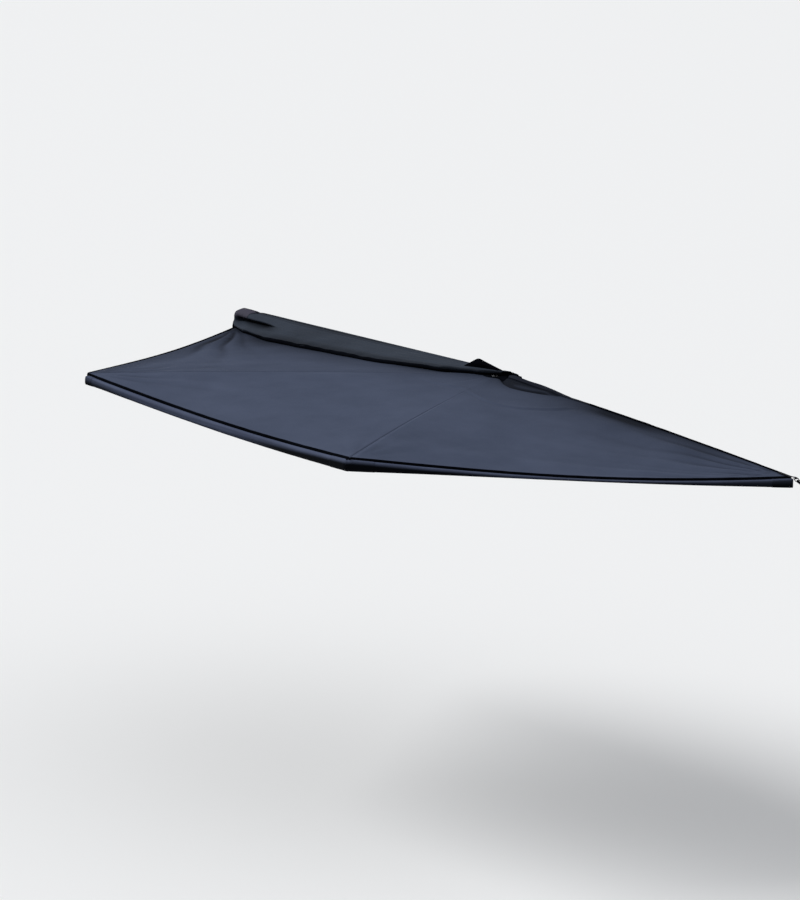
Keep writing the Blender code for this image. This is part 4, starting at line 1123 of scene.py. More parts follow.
def mitred(point, run, first):
    """Slides a point along the edge on to the upright plane along the mitre's arm, less the gap there."""
    turn = math.radians(ARMS[MITRE_ARM]["angle"])
    towards = 1 if first == MITRE_ARM else -1
    normal = Vector((-math.sin(turn), math.cos(turn), 0)) * towards
    if normal.dot(run) * towards < 0:
        normal = -normal
    return point + run * ((MITRE_GAP - (point - Vector((PIVOT.x, PIVOT.y, 0))).dot(normal)) / run.dot(normal))


def roll_section(turn, u, first):
    """The roll's outline: rounder on top, pressed in along a soft lengthwise fold, and never quite even."""
    fold = 0.10 * math.exp(-(((turn - 0.15 - 0.3 * math.sin(u * 9.0 + first)) / 0.30) ** 2))
    uneven = 0.045 * noise.noise(Vector((u * 16.0, math.cos(turn) * 1.3, math.sin(turn) * 1.3 + first)))
    round_off = 1 - fold + uneven
    c, s = math.cos(turn), math.sin(turn)
    end = 1 - smooth(0.0, 0.07, u) if first == 2 else smooth(0.93, 1.0, u)
    squared = 0.5 * end
    return (
        math.copysign(abs(c) ** (0.9 - squared), c) * round_off,
        math.copysign(abs(s) ** (0.95 - squared), s) * (1 + 0.5 * uneven),
    )


def roll_point(first, u, v, swell=0.0):
    held = min(max(u, 0.0), 1.0)
    here, run, side = edge_frame(first, u)
    height = through_three(ROLL_HEIGHTS[first], held) - ROLL_SINK
    middle = here + side * (ROLL_WIDTH / 2 + 0.0006)
    middle.z += ROLL_TOP - height / 2
    turn = math.tau * v
    across, up = roll_section((turn + math.pi) % math.tau - math.pi, u, first)
    return middle + side * across * (ROLL_WIDTH / 2 + swell) + Vector((0, 0, up * (height / 2 + swell))), run


def roll_place(first, u, v, swell=0.0, ends=None):
    low, high = ends or ROLL_ENDS[first]
    share = low + (high - low) * u
    point, run = roll_point(first, share, v, swell)
    if abs(share - (MITRE_ARM - first)) < SAME_PLACE:
        point = mitred(point, run, first)
    return point


# Painted shade on the roll's under side, heaviest near its corners. Each: full up to this distance and gone beyond
# the next, the shares of its height between which that starts, how dark it is, and how much lower it starts 0.6 m
# away
ROLL_CORNER_SHADE = {
    2: (0.15, 0.75, 0.0, 0.75, 0.92, 0.25),
    3: (0.50, 1.00, 0.08, 0.40, 1.0, 0.20),
    4: (1.00, 1.60, -0.5, 0.8, 0.9, 0.0),
}


def roll_shade(first, place, share):
    """Painted shade on the roll: darker towards its under side, and darkest near the corners."""
    held = min(max(share, 0.0), 1.0)
    top = panel_point(first, held, 1.0).z + ROLL_TOP
    down = (top - place.z) / (through_three(ROLL_HEIGHTS[first], held) - ROLL_SINK)
    amount = 0.25 * smooth(0.5, 1.0, down)
    for corner, (near, far, start, end, most, lower) in ROLL_CORNER_SHADE.items():
        away = math.hypot(place.x - CORNERS[corner].x, place.y - CORNERS[corner].y)
        later = lower * smooth(0.0, 0.6, away)
        below = smooth(start + later / 2, end + later, down)
        amount = max(amount, most * (1 - smooth(near, far, away)) * below)
    return amount


for first in (2, 3):
    low, high = ROLL_ENDS[first]
    shape = rolled_tube(
        200, 36, lambda u, v: roll_place(first, u, v), (2.2, 0.16), lambda u, v: low + (high - low) * u
    )
    roll = put(f"rolled_edge_{first}", shape, "edge_cloth")
    # the roll's painted shade, kept in its dark attribute
    darken(roll, lambda place, share: roll_shade(first, place, share))
    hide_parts(f"edge_roll_{first}")
    fold_between(roll, first)
print("rolled edges", ROLL_HEIGHTS)

# %% [markdown]
# The piping is a flat fold of tape on edge, and the first panel's binding is folded over the cloth. Both
# are tubes whose section is flattened. A row of stitches runs just inside the edge of each panel.

# %% Piping, binding and their stitches
PIPING_HALF_WIDTH, PIPING_TOP, PIPING_BOTTOM = 0.0060, 0.0070, -0.0190
PIPING_OUT = 0.0030  # its middle lies this far out from the canopy's edge
PIPING_ENDS = {2: (0.003, 0.998), 3: (0.002, 1.004)}
BINDING_ENDS = (0.004, 0.988)
BINDING_HALF = (HEM_SIZE / 2 + 0.004, 0.0042)  # across and up


def piping_point(first, u, v):
    """The piping is a flat fold of tape that stands on edge between the panel and the roll."""
    here, run, side = edge_frame(first, u)
    turn = math.tau * v
    c, s = math.cos(turn), math.sin(turn)
    middle, half = (PIPING_TOP + PIPING_BOTTOM) / 2, (PIPING_TOP - PIPING_BOTTOM) / 2
    uneven = 0.0010 * noise.noise(Vector((u * 30.0, first * 5.0, 4.0)))
    return here + side * (PIPING_OUT + PIPING_HALF_WIDTH * c) + Vector((0, 0, middle + (half + uneven) * s))


for first in (2, 3):
    low, high = PIPING_ENDS[first]
    shape = rolled_tube(
        170,
        12,
        lambda u, v: piping_point(first, low + (high - low) * u, v),
        (2.2, 0.05),
        lambda u, v: low + (high - low) * u,
    )
    fold_between(put(f"edge_piping_{first}", shape, BLACK_BINDING), first)


def binding_point(u, v):
    """The binding is folded over the first panel's edge: flat, 8 mm thick and rounded."""
    share = BINDING_ENDS[0] + (BINDING_ENDS[1] - BINDING_ENDS[0]) * u
    here, run, side = edge_frame(1, share)
    turn = math.tau * v
    ripple = 0.0006 * noise.noise(Vector((share * 40.0, turn, 1.0)))
    across = math.copysign(abs(math.cos(turn)) ** 0.6, math.cos(turn)) * BINDING_HALF[0]
    up = (BINDING_HALF[1] + ripple) * math.sin(turn) - 0.0006
    return here + side * (0.001 + across) + Vector((0, 0, up))


binding = put("edge_binding_1", rolled_tube(170, 12, binding_point, (2.2, 0.03)), BLACK_BINDING)
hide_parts("edge_hem_1")
fold_between(binding, 1)


STITCHES_INSIDE = {1: 0.012, 2: 0.014, 3: 0.014}  # from the canopy's edge
STITCHES_LIFT = 0.0006


def hem_stitches(first):
    def route(t):
        u = 0.02 + 0.96 * t
        here = canopy_point(first, u, 1 - STITCHES_INSIDE[first] / ARMS[first]["reach"])
        return here + Vector((0, 0, STITCHES_LIFT)), u

    return stitch_row(bmesh.new(), route, 2.1)


for first in (1, 2, 3):
    fold_between(put(f"edge_stitches_{first}", hem_stitches(first), THREAD), first)
print("piping, binding and stitches along the fan's edge")

# %% [markdown]
# A wrap of the roll's own cloth strengthens it at the fan's corners, where an arm's tip pushes against it.
# It is the roll's own section, a little larger, over a short length, and carries a little more painted shade
# than the roll. A small square button of black cloth closes the mitre over arm 3's tip.

# %% Corner wraps and the corner's button
# how far the wrap stands off the roll, and the painted shade that it carries beyond the roll's own
WRAP_SWELL, WRAP_EXTRA_SHADE = 0.0011, 0.12
WRAPS = {  # the panel, and the wrap's start and end as shares of its edge
    "front": (2, (0.0105, 0.030)),
    "side": (2, (0.955, 1.0)),
    "rear": (3, (0.0, 0.045)),
    "tail": (3, (0.965, 1.0055)),
}
BUTTON_SIZE = (0.024, 0.022, 0.030)  # out from the bolt, across, tall
BUTTON_ROUND = 0.004
BUTTON_OUT, BUTTON_DROP = 0.014, 0.0095  # from the canopy's corner

for label, (first, ends) in WRAPS.items():
    shape = rolled_tube(
        16,
        36,
        lambda u, v: roll_place(first, u, v, WRAP_SWELL, ends),
        (0.13, 0.16),
        lambda u, v: ends[0] + (ends[1] - ends[0]) * u,
    )
    wrap = put(f"corner_wrap_{label}", shape, "edge_cloth")
    darken(wrap, lambda place, share: min(roll_shade(first, place, share) + WRAP_EXTRA_SHADE, 1.0))
    fold_between(wrap, first)

button = bmesh.new()
bmesh.ops.create_cube(button, size=1.0, matrix=Matrix.Diagonal((*BUTTON_SIZE, 1.0)))
bmesh.ops.bevel(
    button, geom=button.edges[:], offset=BUTTON_ROUND, segments=3, affect="EDGES", profile=0.5, material=-1
)
turn = Matrix.Rotation(math.radians(ARMS[3]["angle"] - 180.0), 3, "Z")
bmesh.ops.rotate(button, verts=button.verts, matrix=turn)
outward = (CORNERS[3] - PIVOT).normalized()
place = panel_point(2, 1.0, 1.0) + outward * BUTTON_OUT - Vector((0, 0, BUTTON_DROP))
bmesh.ops.translate(button, verts=button.verts, vec=place)
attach(put("corner_button", button, BLACK_BINDING), BODIES[3])
print(len(WRAPS), "wraps and a button")

# %% [markdown]
# Along arms 1 and 4 the canopy is sewn into a sleeve that the tube runs in. It is looser than the tube, so
# it wrinkles across its length. On arm 4 it bunches near the hub, and a spare fold of it stands up behind
# the tube.

# %% Sleeves on the first and last arm
SLEEVE_ROOM = 0.0016
SLEEVE_SQUARE = 0.35  # the lower, the squarer its section
SLEEVE_CLOTH = 0.0010
SLEEVE_START = {1: 0.175, 4: 0.110}
SLEEVE_SHORT = 0.062  # it ends this far inside the canopy's corner
BUNCH_START, BUNCH_END = 0.18, 0.62
BUNCH_BACK, BUNCH_UP = 0.010, 0.016


def sleeve_point(number, u, v, start, end):
    arm = ARMS[number]
    along = start + (end - start) * u
    turn = math.tau * v
    c, s = math.cos(turn), math.sin(turn)
    wrinkle = noise.noise(Vector((along * 26.0, c * 1.2, s * 1.2 + number))) * 0.0016
    ease = SLEEVE_ROOM + max(wrinkle, -0.0008)
    across = math.copysign(abs(c) ** SLEEVE_SQUARE, c) * (TUBE_WIDTH / 2 + ease)
    up = math.copysign(abs(s) ** SLEEVE_SQUARE, s) * (TUBE_HEIGHT / 2 + ease)
    if number == 4:
        bunch = 1 - smooth(BUNCH_START, BUNCH_END, along)
        back = max(0.0, math.cos(turn - math.pi * 0.72)) ** 3
        lump = 1 + 0.45 * noise.noise(Vector((along * 9.0, 3.0, 1.0)))
        up += BUNCH_UP * bunch * back * lump
        across -= BUNCH_BACK * bunch * back * lump
    return fan_point(arm["angle"], arm["offset"] - across, along, arm_height(arm, along) + up)


for number, name in ((1, "inner_hem"), (4, "rear_hem")):
    start, end = SLEEVE_START[number], ARMS[number]["reach"] - SLEEVE_SHORT
    shape = rolled_tube(
        260, 32, lambda u, v: sleeve_point(number, u, v, start, end), (end - start, 0.12), ends="open"
    )
    sleeve = put(f"{name}_sleeve", shape, "edge_cloth", SLEEVE_CLOTH)
    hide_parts(name)
    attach(sleeve, BODIES[number])
print("sleeves on arms 1 and 4")

# %% [markdown]
# A round black binding lies on the canopy along the last arm. Near the hub the spare cloth is bunched into
# a soft fold on top of the arm, and the binding runs along that fold's foot. Both are tubes that swell and
# narrow along the arm.

# %% Binding and bunched cloth along the rear edge
BINDING_RADIUS, BINDING_RISE = (0.0052, 0.0060), 0.0024  # across and up, and over the panel's edge
BUNCH_PLACES = (0.030, 0.685)
BUNCH_THIN, BUNCH_FULL = 0.0030, (0.0115, 0.0100)  # its least radius, and what it swells by, across and up
BUNCH_SHADE = 0.85


def rear_binding_point(u, v):
    share = 0.020 + 0.972 * u
    here = panel_point(3, 1.0, share)
    along = share * ARMS[4]["reach"]
    thick = 0.30 * (1 - smooth(0.35, 0.60, along))
    thick += 0.25 * smooth(0.6, 0.8, along) * (1 - smooth(1.1, 1.5, along))
    uneven = noise.noise(Vector((along * 12.0, 7.0, 1.0)))
    turn = math.tau * v
    across = (BINDING_RADIUS[0] + 0.0008 * uneven) * math.cos(turn) + 0.004
    up = (BINDING_RADIUS[1] * (1 + thick) + 0.0012 * uneven) * math.sin(turn) + BINDING_RISE
    return here + Vector((0, across, up))


shape = rolled_tube(240, 12, rear_binding_point, (2.1, 0.035))
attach(put("rear_binding", shape, BLACK_BINDING), BODIES[4])


def rear_bunch_point(u, v):
    along = BUNCH_PLACES[0] + (BUNCH_PLACES[1] - BUNCH_PLACES[0]) * u
    here = panel_point(3, 1.0, along / ARMS[4]["reach"])
    full = smooth(-0.03, 0.07, along) * (1 - smooth(0.24, 0.70, along))
    turn = math.tau * v
    uneven = 0.16 * noise.noise(Vector((along * 11.0, math.cos(turn) * 1.5, math.sin(turn) * 1.5)))
    crease = 0.14 * math.exp(-(((turn - 2.3 - 1.2 * along) / 0.35) ** 2))
    size = 1 + uneven - crease
    across = (BUNCH_THIN + BUNCH_FULL[0] * full) * size * math.cos(turn)
    tall = (BUNCH_THIN + BUNCH_FULL[1] * full) * size * math.sin(turn)
    return here + Vector((0, across - 0.001, tall + 0.0010 + 0.0105 * full))


bunch = put("rear_cloth_bunch", rolled_tube(140, 32, rear_bunch_point, (0.65, 0.08)), "edge_cloth")
darken(bunch, lambda place, share: BUNCH_SHADE)
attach(bunch, BODIES[4])
print("binding and bunch beside arm 4")

# %% [markdown]
# A collar of black cloth lies on the three panels and closes the opening round the pivot. It runs out to a
# short point where the groove beside the last arm begins.

# %% Collar round the pivot
COLLAR_RIM = ((0.0215, 0.1046), (0.0225, 0.1075), (0.0290, 0.1115))  # radius and height, turned down
COLLAR_RIM_SHARE = 0.3  # the rows of its grid that make the rim
COLLAR_OUTER = 0.068
COLLAR_CLOTH = 0.0006
COLLAR_LIFT = 0.0016  # over the canopy
COLLAR_STEP = 0.0009  # each panel's collar lies a little higher than the one before it
COLLAR_CLEAR = 0.055  # the first starts further out by this much beside the rail, clear of the hub's bolts
GUSSET_HEADING, GUSSET_SPREAD, GUSSET_REACH = -27.0, 11.0, 0.045


def collar_point(first, u, v):
    angle, offset = between(first, "angle", u), between(first, "offset", u)
    gusset = GUSSET_REACH * math.exp(-(((angle - 180.0 - GUSSET_HEADING) / GUSSET_SPREAD) ** 2))
    away = COLLAR_CLEAR * max(0.0, 1 - 3.2 * u) if first == 1 else 0.0
    rim_radius, rim_height = COLLAR_RIM[-1]
    if v < COLLAR_RIM_SHARE:
        k = 2 * v / COLLAR_RIM_SHARE
        (low_radius, low), (high_radius, high) = COLLAR_RIM[:2] if k < 1 else COLLAR_RIM[1:]
        part = k % 1.0 if k < 2 else 1.0
        rise = low + (high - low) * part + COLLAR_STEP * first
        return fan_point(angle, 0.0, low_radius + (high_radius - low_radius) * part + away, rise)
    t = (v - COLLAR_RIM_SHARE) / (1 - COLLAR_RIM_SHARE)
    along = rim_radius + away + (COLLAR_OUTER + gusset - rim_radius) * t
    here = fan_point(angle, offset * smooth(0.0, 0.5, t), along, 0.0)
    on_cloth = cloth_height(first, u, along / panel_reach(first, u), here.x, here.y) + COLLAR_LIFT
    here.z = rim_height + (on_cloth - rim_height) * smooth(0.0, 0.35, t) + COLLAR_STEP * first
    return here


for first in (1, 2, 3):
    shape = grid_shape(40, 30, lambda u, v: collar_point(first, u, v), (0.07, 0.08))
    fold_between(put(f"hub_collar_{first}", facing_up(shape), BLACK_BINDING, COLLAR_CLOTH), first)
print("collar round the bolt, in three parts")

# %% [markdown]
# The cover is one wide piece of cloth. It leaves the rail's groove, rises over the rail's front edge,
# slopes down over the first arm and lies on the canopy. Near its front end it is tucked in under itself,
# which leaves a deep valley above a soft roll. Its section is worked out at each place along the rail, and
# smoothed between its points.

# %% The cover's section
GROOVE_Y, GROOVE_Z = RAIL_HIGH.y - 0.008, RAIL_HIGH.z + 0.003
COVER_CLOTH = 0.003
COVER_SHELL = 0.0020
COVER_CROWN = (0.110, 0.108)
COVER_HUB_RISE = -0.001
COVER_EDGE = (
    (-1.232, 0.134),
    (-0.95, 0.250),
    (-0.62, 0.350),
    (-0.25, 0.395),
    (0.45, 0.440),
    (0.92, 0.368),
    (1.13, 0.270),
    (1.215, 0.178),
)
COVER_FRONT, COVER_REAR = COVER_EDGE[0][0], COVER_EDGE[-1][0]
COVER_EDGE_LIFT = 0.006
COVER_OVER_BOLTS = 0.1120
COVER_OVER_HUB = (0.98, 0.12)
COVER_SHARES = (0.2, 0.4, 0.6, 0.8, 0.93)
COVER_LIP_ROUND = 0.012
COVER_BULGE = 0.010
COVER_TURN = (0.016, 0.003)  # where it turns over the rail's edge: from the rail's back, and under the crown
COVER_SLOPE_START = 0.030  # from the rail's back
COVER_EDGE_EASE = 0.55  # the share of a soft curve between the places of the loose edge
END_DROP = (0.030, 0.007)


def canopy_height(x, y):
    """Height of the first panel at a place, found by turning the place back into u and share."""
    east, north = x - PIVOT.x, y - PIVOT.y
    u = 0.3
    for _ in range(8):
        offset = between(1, "offset", u)
        along = math.sqrt(max(east**2 + north**2 - offset**2, 0.0))
        angle = math.degrees(math.atan2(north, east) - math.atan2(-offset, -along))
        u = min(max(((angle + 180.0) % 360.0 - 180.0) / FAN_STEP, 0.0), 1.0)
    return panel_height(1, u, along / panel_reach(1, u))


def cover_reach(x):
    for (x0, v0), (x1, v1) in zip(COVER_EDGE, COVER_EDGE[1:]):
        if x <= x1:
            break
    t = min(max((x - x0) / (x1 - x0), 0.0), 1.0)
    return v0 + (v1 - v0) * (t * (1 - COVER_EDGE_EASE) + COVER_EDGE_EASE * t * t * (3 - 2 * t))


def cover_line(x):
    """The cover's section at x: points (y, z) on its upper side, from the groove to the loose edge."""
    fall_length, fall = END_DROP
    over_hub = min(max((x - COVER_OVER_HUB[0]) / COVER_OVER_HUB[1], 0.0), 1.0)
    crown_fall = COVER_CROWN[1] - COVER_CROWN[0]
    crown = COVER_CROWN[0] + crown_fall * (x - COVER_FRONT) / (COVER_REAR - COVER_FRONT)
    crown += COVER_HUB_RISE * over_hub - fall * max(0.0, 1 - (x - COVER_FRONT) / fall_length) ** 2
    lip_y = -cover_reach(x)
    under = COVER_EDGE_LIFT + COVER_CLOTH
    lip = canopy_height(x, lip_y) + under
    start = RAIL_HIGH.y - COVER_SLOPE_START
    points = [(GROOVE_Y, GROOVE_Z), (RAIL_HIGH.y - COVER_TURN[0], crown - COVER_TURN[1]), (start, crown)]
    for share in COVER_SHARES:
        y = start + (lip_y - start) * share
        straight = crown + (lip + COVER_LIP_ROUND - crown) * share + COVER_BULGE * math.sin(math.pi * share)
        clear = canopy_height(x, y) + under if y < CORNERS[1].y else 0.0
        points.append((y, max(straight, clear, COVER_OVER_BOLTS * over_hub)))
    points += [(lip_y + 0.002, lip + COVER_LIP_ROUND / 2), (lip_y, lip)]
    return points


CURVE_STEPS = 12


def smooth_line(points, count):
    """The same line through count evenly spaced points of a smooth curve."""
    points = [Vector(p) for p in points]
    padded = [2 * points[0] - points[1]] + points + [2 * points[-1] - points[-2]]
    fine = []
    for a, b, c, d in zip(padded, padded[1:], padded[2:], padded[3:]):
        for i in range(CURVE_STEPS):
            t = i / CURVE_STEPS
            curve = 2 * b + (c - a) * t + (2 * a - 5 * b + 4 * c - d) * t * t
            fine.append(0.5 * (curve + (3 * b - a - 3 * c + d) * t**3))
    fine.append(points[-1])
    runs = [0.0]
    for near, far in zip(fine, fine[1:]):
        runs.append(runs[-1] + (far - near).length)
    even, k = [], 0
    for i in range(count):
        want = runs[-1] * i / (count - 1)
        while k < len(fine) - 2 and runs[k + 1] < want:
            k += 1
        step = runs[k + 1] - runs[k]
        even.append(fine[k].lerp(fine[k + 1], (want - runs[k]) / step if step else 0.0))
    return even


# %% [markdown]
# The cover's folds are offsets of that section. Inward ones make the valley and press in the front end, and
# the rest are soft waves on the free part. The offsets fade out away from the front end, so that one
# function serves it all.

# %% The cover's folds
VALLEY_DEPTH = 0.070
VALLEY_PLACE, VALLEY_HALF = 0.69, 0.115  # shares of the section
VALLEY_END = 0.66  # it fades out at this distance from the front end
PRESSED_IN = (0.021, 0.42, 0.20)  # above the valley: how far, and its place and half width as shares
ROLLED_OUT = (0.018, 0.90, 0.06)  # below the valley
RAISED = (0.008, 0.34, 0.12)
NOTCH = (0.010, 0.165, 0.022)  # in the crown: its depth, distance from the front end and half length
NOTCH_SHARES = (0.2, 0.12)
INNER_LIMIT = RAIL_LOW.y - 0.0075  # the cloth keeps this far from the rail's face
FOLD_DIP, RIPPLE_DIP = -0.002, -0.003  # no wave dips further than this
SECTION_POINTS = 64
COVER_COLUMNS = 300
cover_sections = {}


def cover_waves(x, t, from_end):
    """Soft folds and ripples on the part of the cloth that lies free."""
    broad = 0.0035 * noise.noise(Vector((x * 1.7, t * 6.0, 4.0)))
    small = 0.0012 * noise.noise(Vector((x * 9.0, t * 9.0, 8.0)))
    ripple = 0.0045 * noise.noise(Vector((x * 11.0, t * 2.0, 6.0))) * smooth(0.55, 1.0, t)
    lengthwise = 0.0012 * math.cos(t * 38.0 + 2.0 * noise.noise(Vector((x * 1.2, 0.0, 9.0))))
    loose = smooth(0.0, 0.6, from_end)
    free = smooth(0.12, 0.35, t)
    return free * (loose * (max(broad + small, FOLD_DIP) + lengthwise) + max(ripple, RIPPLE_DIP))


def cover_section(x):
    """The folded section at x, as evenly spaced points (y, z)."""
    key = round(x, 5)
    if key in cover_sections:
        return cover_sections[key]
    from_end = x - COVER_FRONT
    tuck = smooth(0.004, 0.045, from_end) * (1 - smooth(0.30, VALLEY_END, from_end))
    full = 1 - smooth(0.05, VALLEY_END, from_end)
    notch = NOTCH[0] * mound(from_end, *NOTCH[1:])
    section = []
    for k, point in enumerate(smooth_line(cover_line(x), SECTION_POINTS)):
        t = k / (SECTION_POINTS - 1)
        inward = -PRESSED_IN[0] * full * mound(t, *PRESSED_IN[1:])
        inward += VALLEY_DEPTH * tuck * mound(t, VALLEY_PLACE, VALLEY_HALF)
        inward -= ROLLED_OUT[0] * tuck * mound(t, *ROLLED_OUT[1:])
        if t > 0.2:
            inward = min(inward, max(INNER_LIMIT - point.x, 0.0))
        waves = cover_waves(x, t, from_end)
        raised = RAISED[0] * full * mound(t, *RAISED[1:])
        notched = notch * mound(k / SECTION_POINTS, *NOTCH_SHARES)
        section.append((point.x + inward, point.y + waves + raised - notched))
    cover_sections[key] = section
    return section


def cover_point(x, t, lift=0.0):
    """A point of the cover, lifted square off it."""
    section = cover_section(x)
    place = min(max(t, 0.0), 1.0) * (SECTION_POINTS - 1)
    k = min(int(place), SECTION_POINTS - 2)
    (y0, z0), (y1, z1) = section[k], section[k + 1]
    part = place - k
    run = math.hypot(y1 - y0, z1 - z0)
    normal = ((z1 - z0) / run, -(y1 - y0) / run)
    return Vector((x, y0 + (y1 - y0) * part + normal[0] * lift, z0 + (z1 - z0) * part + normal[1] * lift))


def cover_x(u):
    return COVER_FRONT + (COVER_REAR - COVER_FRONT) * u


shape = grid_shape(
    COVER_COLUMNS, SECTION_POINTS - 1, lambda u, v: cover_point(cover_x(u), v), (2.45, 0.35), lambda u, v: v
)
cover = put("cover_cloth", facing_up(shape), "cover_cloth", COVER_SHELL)
# painted shade inside the tuck, and along the loose edge further back
TUCK_SHADE, EDGE_SHADE = 0.80, 0.60
TUCK_WIDTH = (0.100, 0.185)  # at the front end, and a quarter metre from it, as shares of the section


def cover_shade(place, share):
    """Painted shade: dark inside the tuck, and further back along the loose edge."""
    from_end = place.x - COVER_FRONT
    away = abs(share - VALLEY_PLACE)
    width = TUCK_WIDTH[0] + (TUCK_WIDTH[1] - TUCK_WIDTH[0]) * smooth(0.0, 0.28, from_end)
    along = smooth(0.0, 0.04, from_end) * (1 - smooth(0.30, VALLEY_END, from_end))
    patchy = 1 + 0.35 * noise.noise(Vector((place.x * 14.0, share * 9.0, 2.0)))
    tuck = TUCK_SHADE * along * patchy * (1 - smooth(0.25 * width, width, away))
    edge = EDGE_SHADE * smooth(0.25, 0.75, from_end) * smooth(0.72, 0.97, share)
    return min(max(tuck, edge), 1.0)


darken(cover, cover_shade)
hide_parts("cover_flap")
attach(cover, "cover")
print("cover", len(cover.data.vertices), "points")

# %% [markdown]
# The cover's loose edge is turned under twice and sewn, which makes a soft round hem, a tube on the edge's
# line. It is black, as painted shadow under the cover's edge. At the hub the spare cloth is rolled up over
# the hem. A round keder is sewn in along the crown, where the cover turns down to the groove.

# %% Hem, hub roll and keder of the cover
HEM_HALF, HEM_LIFT, HEM_TOP = 0.0065, 0.0010, 0.0085  # half its width, its foot, its top over the edge
HUB_ROLL_START, HUB_ROLL_LENGTH = 0.80, 0.405
HUB_ROLL_THIN, HUB_ROLL_SWELL, HUB_ROLL_SHADE = 0.0030, 0.0078, 0.40
KEDER_RADIUS, KEDER_PLACE = 0.0058, 0.15  # its place as a share of the section
CROWN_SHADE, CROWN_SHADE_FRONT, CROWN_PALER = 0.80, 0.15, 0.60


def cover_hem_point(u, v):
    """The turned-under edge fills the space from just over the canopy to the cover's rounded lip."""
    x = cover_x(u)
    edge = cover_point(x, 1.0)
    low = canopy_height(x, edge.y) + HEM_LIFT
    high = edge.z + HEM_TOP + 0.0020 * noise.noise(Vector((x * 14.0, 0.0, 2.0)))
    turn = math.tau * v
    c, s = math.cos(turn), math.sin(turn)
    across = math.copysign(abs(c) ** 0.7, c) * HEM_HALF
    return Vector((x, edge.y + 0.0035 + across, (low + high) / 2 + s * (high - low) / 2))


# black cloth, as painted shadow under the cover's loose edge
hem = put("cover_hem_black_shadow", rolled_tube(300, 16, cover_hem_point, (2.5, 0.05)), BLACK_BINDING)
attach(hem, "cover")


def hub_roll_point(u, v):
    x = HUB_ROLL_START + HUB_ROLL_LENGTH * u
    radius = HUB_ROLL_THIN + HUB_ROLL_SWELL * smooth(0.0, 0.45, u) * (1 - 0.45 * smooth(0.9, 1.0, u))
    radius += 0.0010 * noise.noise(Vector((x * 30.0, v * 3.0, 2.0)))
    edge = cover_point(x, 0.97)
    turn = math.tau * v
    return edge + Vector((0, radius * 0.9 * math.cos(turn) + 0.004, radius * 0.85 * math.sin(turn) + 0.004))


hub_roll = put("cover_hub_roll", rolled_tube(90, 16, hub_roll_point, (0.4, 0.06)), "cover_cloth")
darken(hub_roll, lambda place, share: HUB_ROLL_SHADE)
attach(hub_roll, "cover")


def crown_keder_point(u, v):
    turn = math.tau * v
    across, up = KEDER_RADIUS * math.cos(turn), KEDER_RADIUS * math.sin(turn)
    return cover_point(cover_x(u), KEDER_PLACE) + Vector((0, across, up - 0.0006))


def crown_shade(place):
    """The crown is darkest at the front, and as pale as the cover at the rear."""
    front = CROWN_SHADE_FRONT * (1 - smooth(-1.15, -0.85, place.x))
    return CROWN_SHADE + front - CROWN_PALER * smooth(0.1, 0.5, place.x)


keder = put("cover_keder", rolled_tube(240, 10, crown_keder_point, (2.45, 0.026)), "cover_cloth")
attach(darken(keder, lambda place, share: crown_shade(place)), "cover")
print("hem, hub roll and keder")

# %% [markdown]
# A tape is sewn along the groove side, a black one along the loose edge as painted shadow, and a wide grey band
# closes the front end. Each is a grid laid on the cover and lifted a little off it, and rows of stitches run along
# them.

# %% Tapes, end band and stitches of the cover
TAPE_END = 0.24  # share of the section at which the tape stops
TAPE_LIFT, TAPE_THICKNESS, TAPE_SHADE = 0.0012, 0.0014, 0.25
BAND_LENGTH, BAND_SHARES, BAND_LIFT = 0.150, (0.02, 0.56), 0.0022
# the black tape that paints the shadow along the loose edge
EDGE_SHADOW_TAPE = (0.012, 0.036)  # its share of the section at the front end, and what is added further back


def patch_on_cover(name, x_ends, shares, lift, finish, columns, rows):
    """A strip of cloth sewn on the cover."""
    length, width = x_ends[1] - x_ends[0], shares[1] - shares[0]
    shape = grid_shape(
        columns,
        rows,
        lambda u, v: cover_point(x_ends[0] + length * u, shares[0] + width * v, lift),
        (length, width * 0.3),
    )
    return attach(put(name, facing_up(shape), finish, TAPE_THICKNESS), "cover")


crown_tape = patch_on_cover(
    "cover_tape", (COVER_FRONT, COVER_REAR), (0.0, TAPE_END), TAPE_LIFT, "cover_cloth", 240, 6
)
darken(crown_tape, lambda place, share: TAPE_SHADE * crown_shade(place))
band_ends = (COVER_FRONT - 0.002, COVER_FRONT + BAND_LENGTH)
patch_on_cover("cover_end_band", band_ends, BAND_SHARES, BAND_LIFT, END_CLOTH, 30, 28)


def edge_shadow_tape_point(u, v):
    """The black tape along the loose edge, which is painted shadow, shows little at the front end, and more
    further back.
    """
    x = cover_x(u)
    shown = EDGE_SHADOW_TAPE[0] + EDGE_SHADOW_TAPE[1] * smooth(0.03, 0.55, x - COVER_FRONT)
    shown += 0.006 * noise.noise(Vector((x * 7.0, 3.0, 3.0)))
    return cover_point(x, 1 - shown * (1 - v), TAPE_LIFT)


shape = grid_shape(240, 4, edge_shadow_tape_point, (2.45, 0.02))
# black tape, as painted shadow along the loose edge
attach(put("cover_edge_shadow_tape", facing_up(shape), BLACK_BINDING, TAPE_THICKNESS), "cover")


def along_cover(t, lift):
    """A route for stitches along the whole cover, at a share of its section."""
    return lambda a: (cover_point(cover_x(0.01 + 0.98 * a), t, lift), 0.0)


def on_band(x_share, t):
    """A stitch's place on the end band."""
    return cover_point(COVER_FRONT + BAND_LENGTH * x_share, t, BAND_LIFT + 0.0002), 0.0


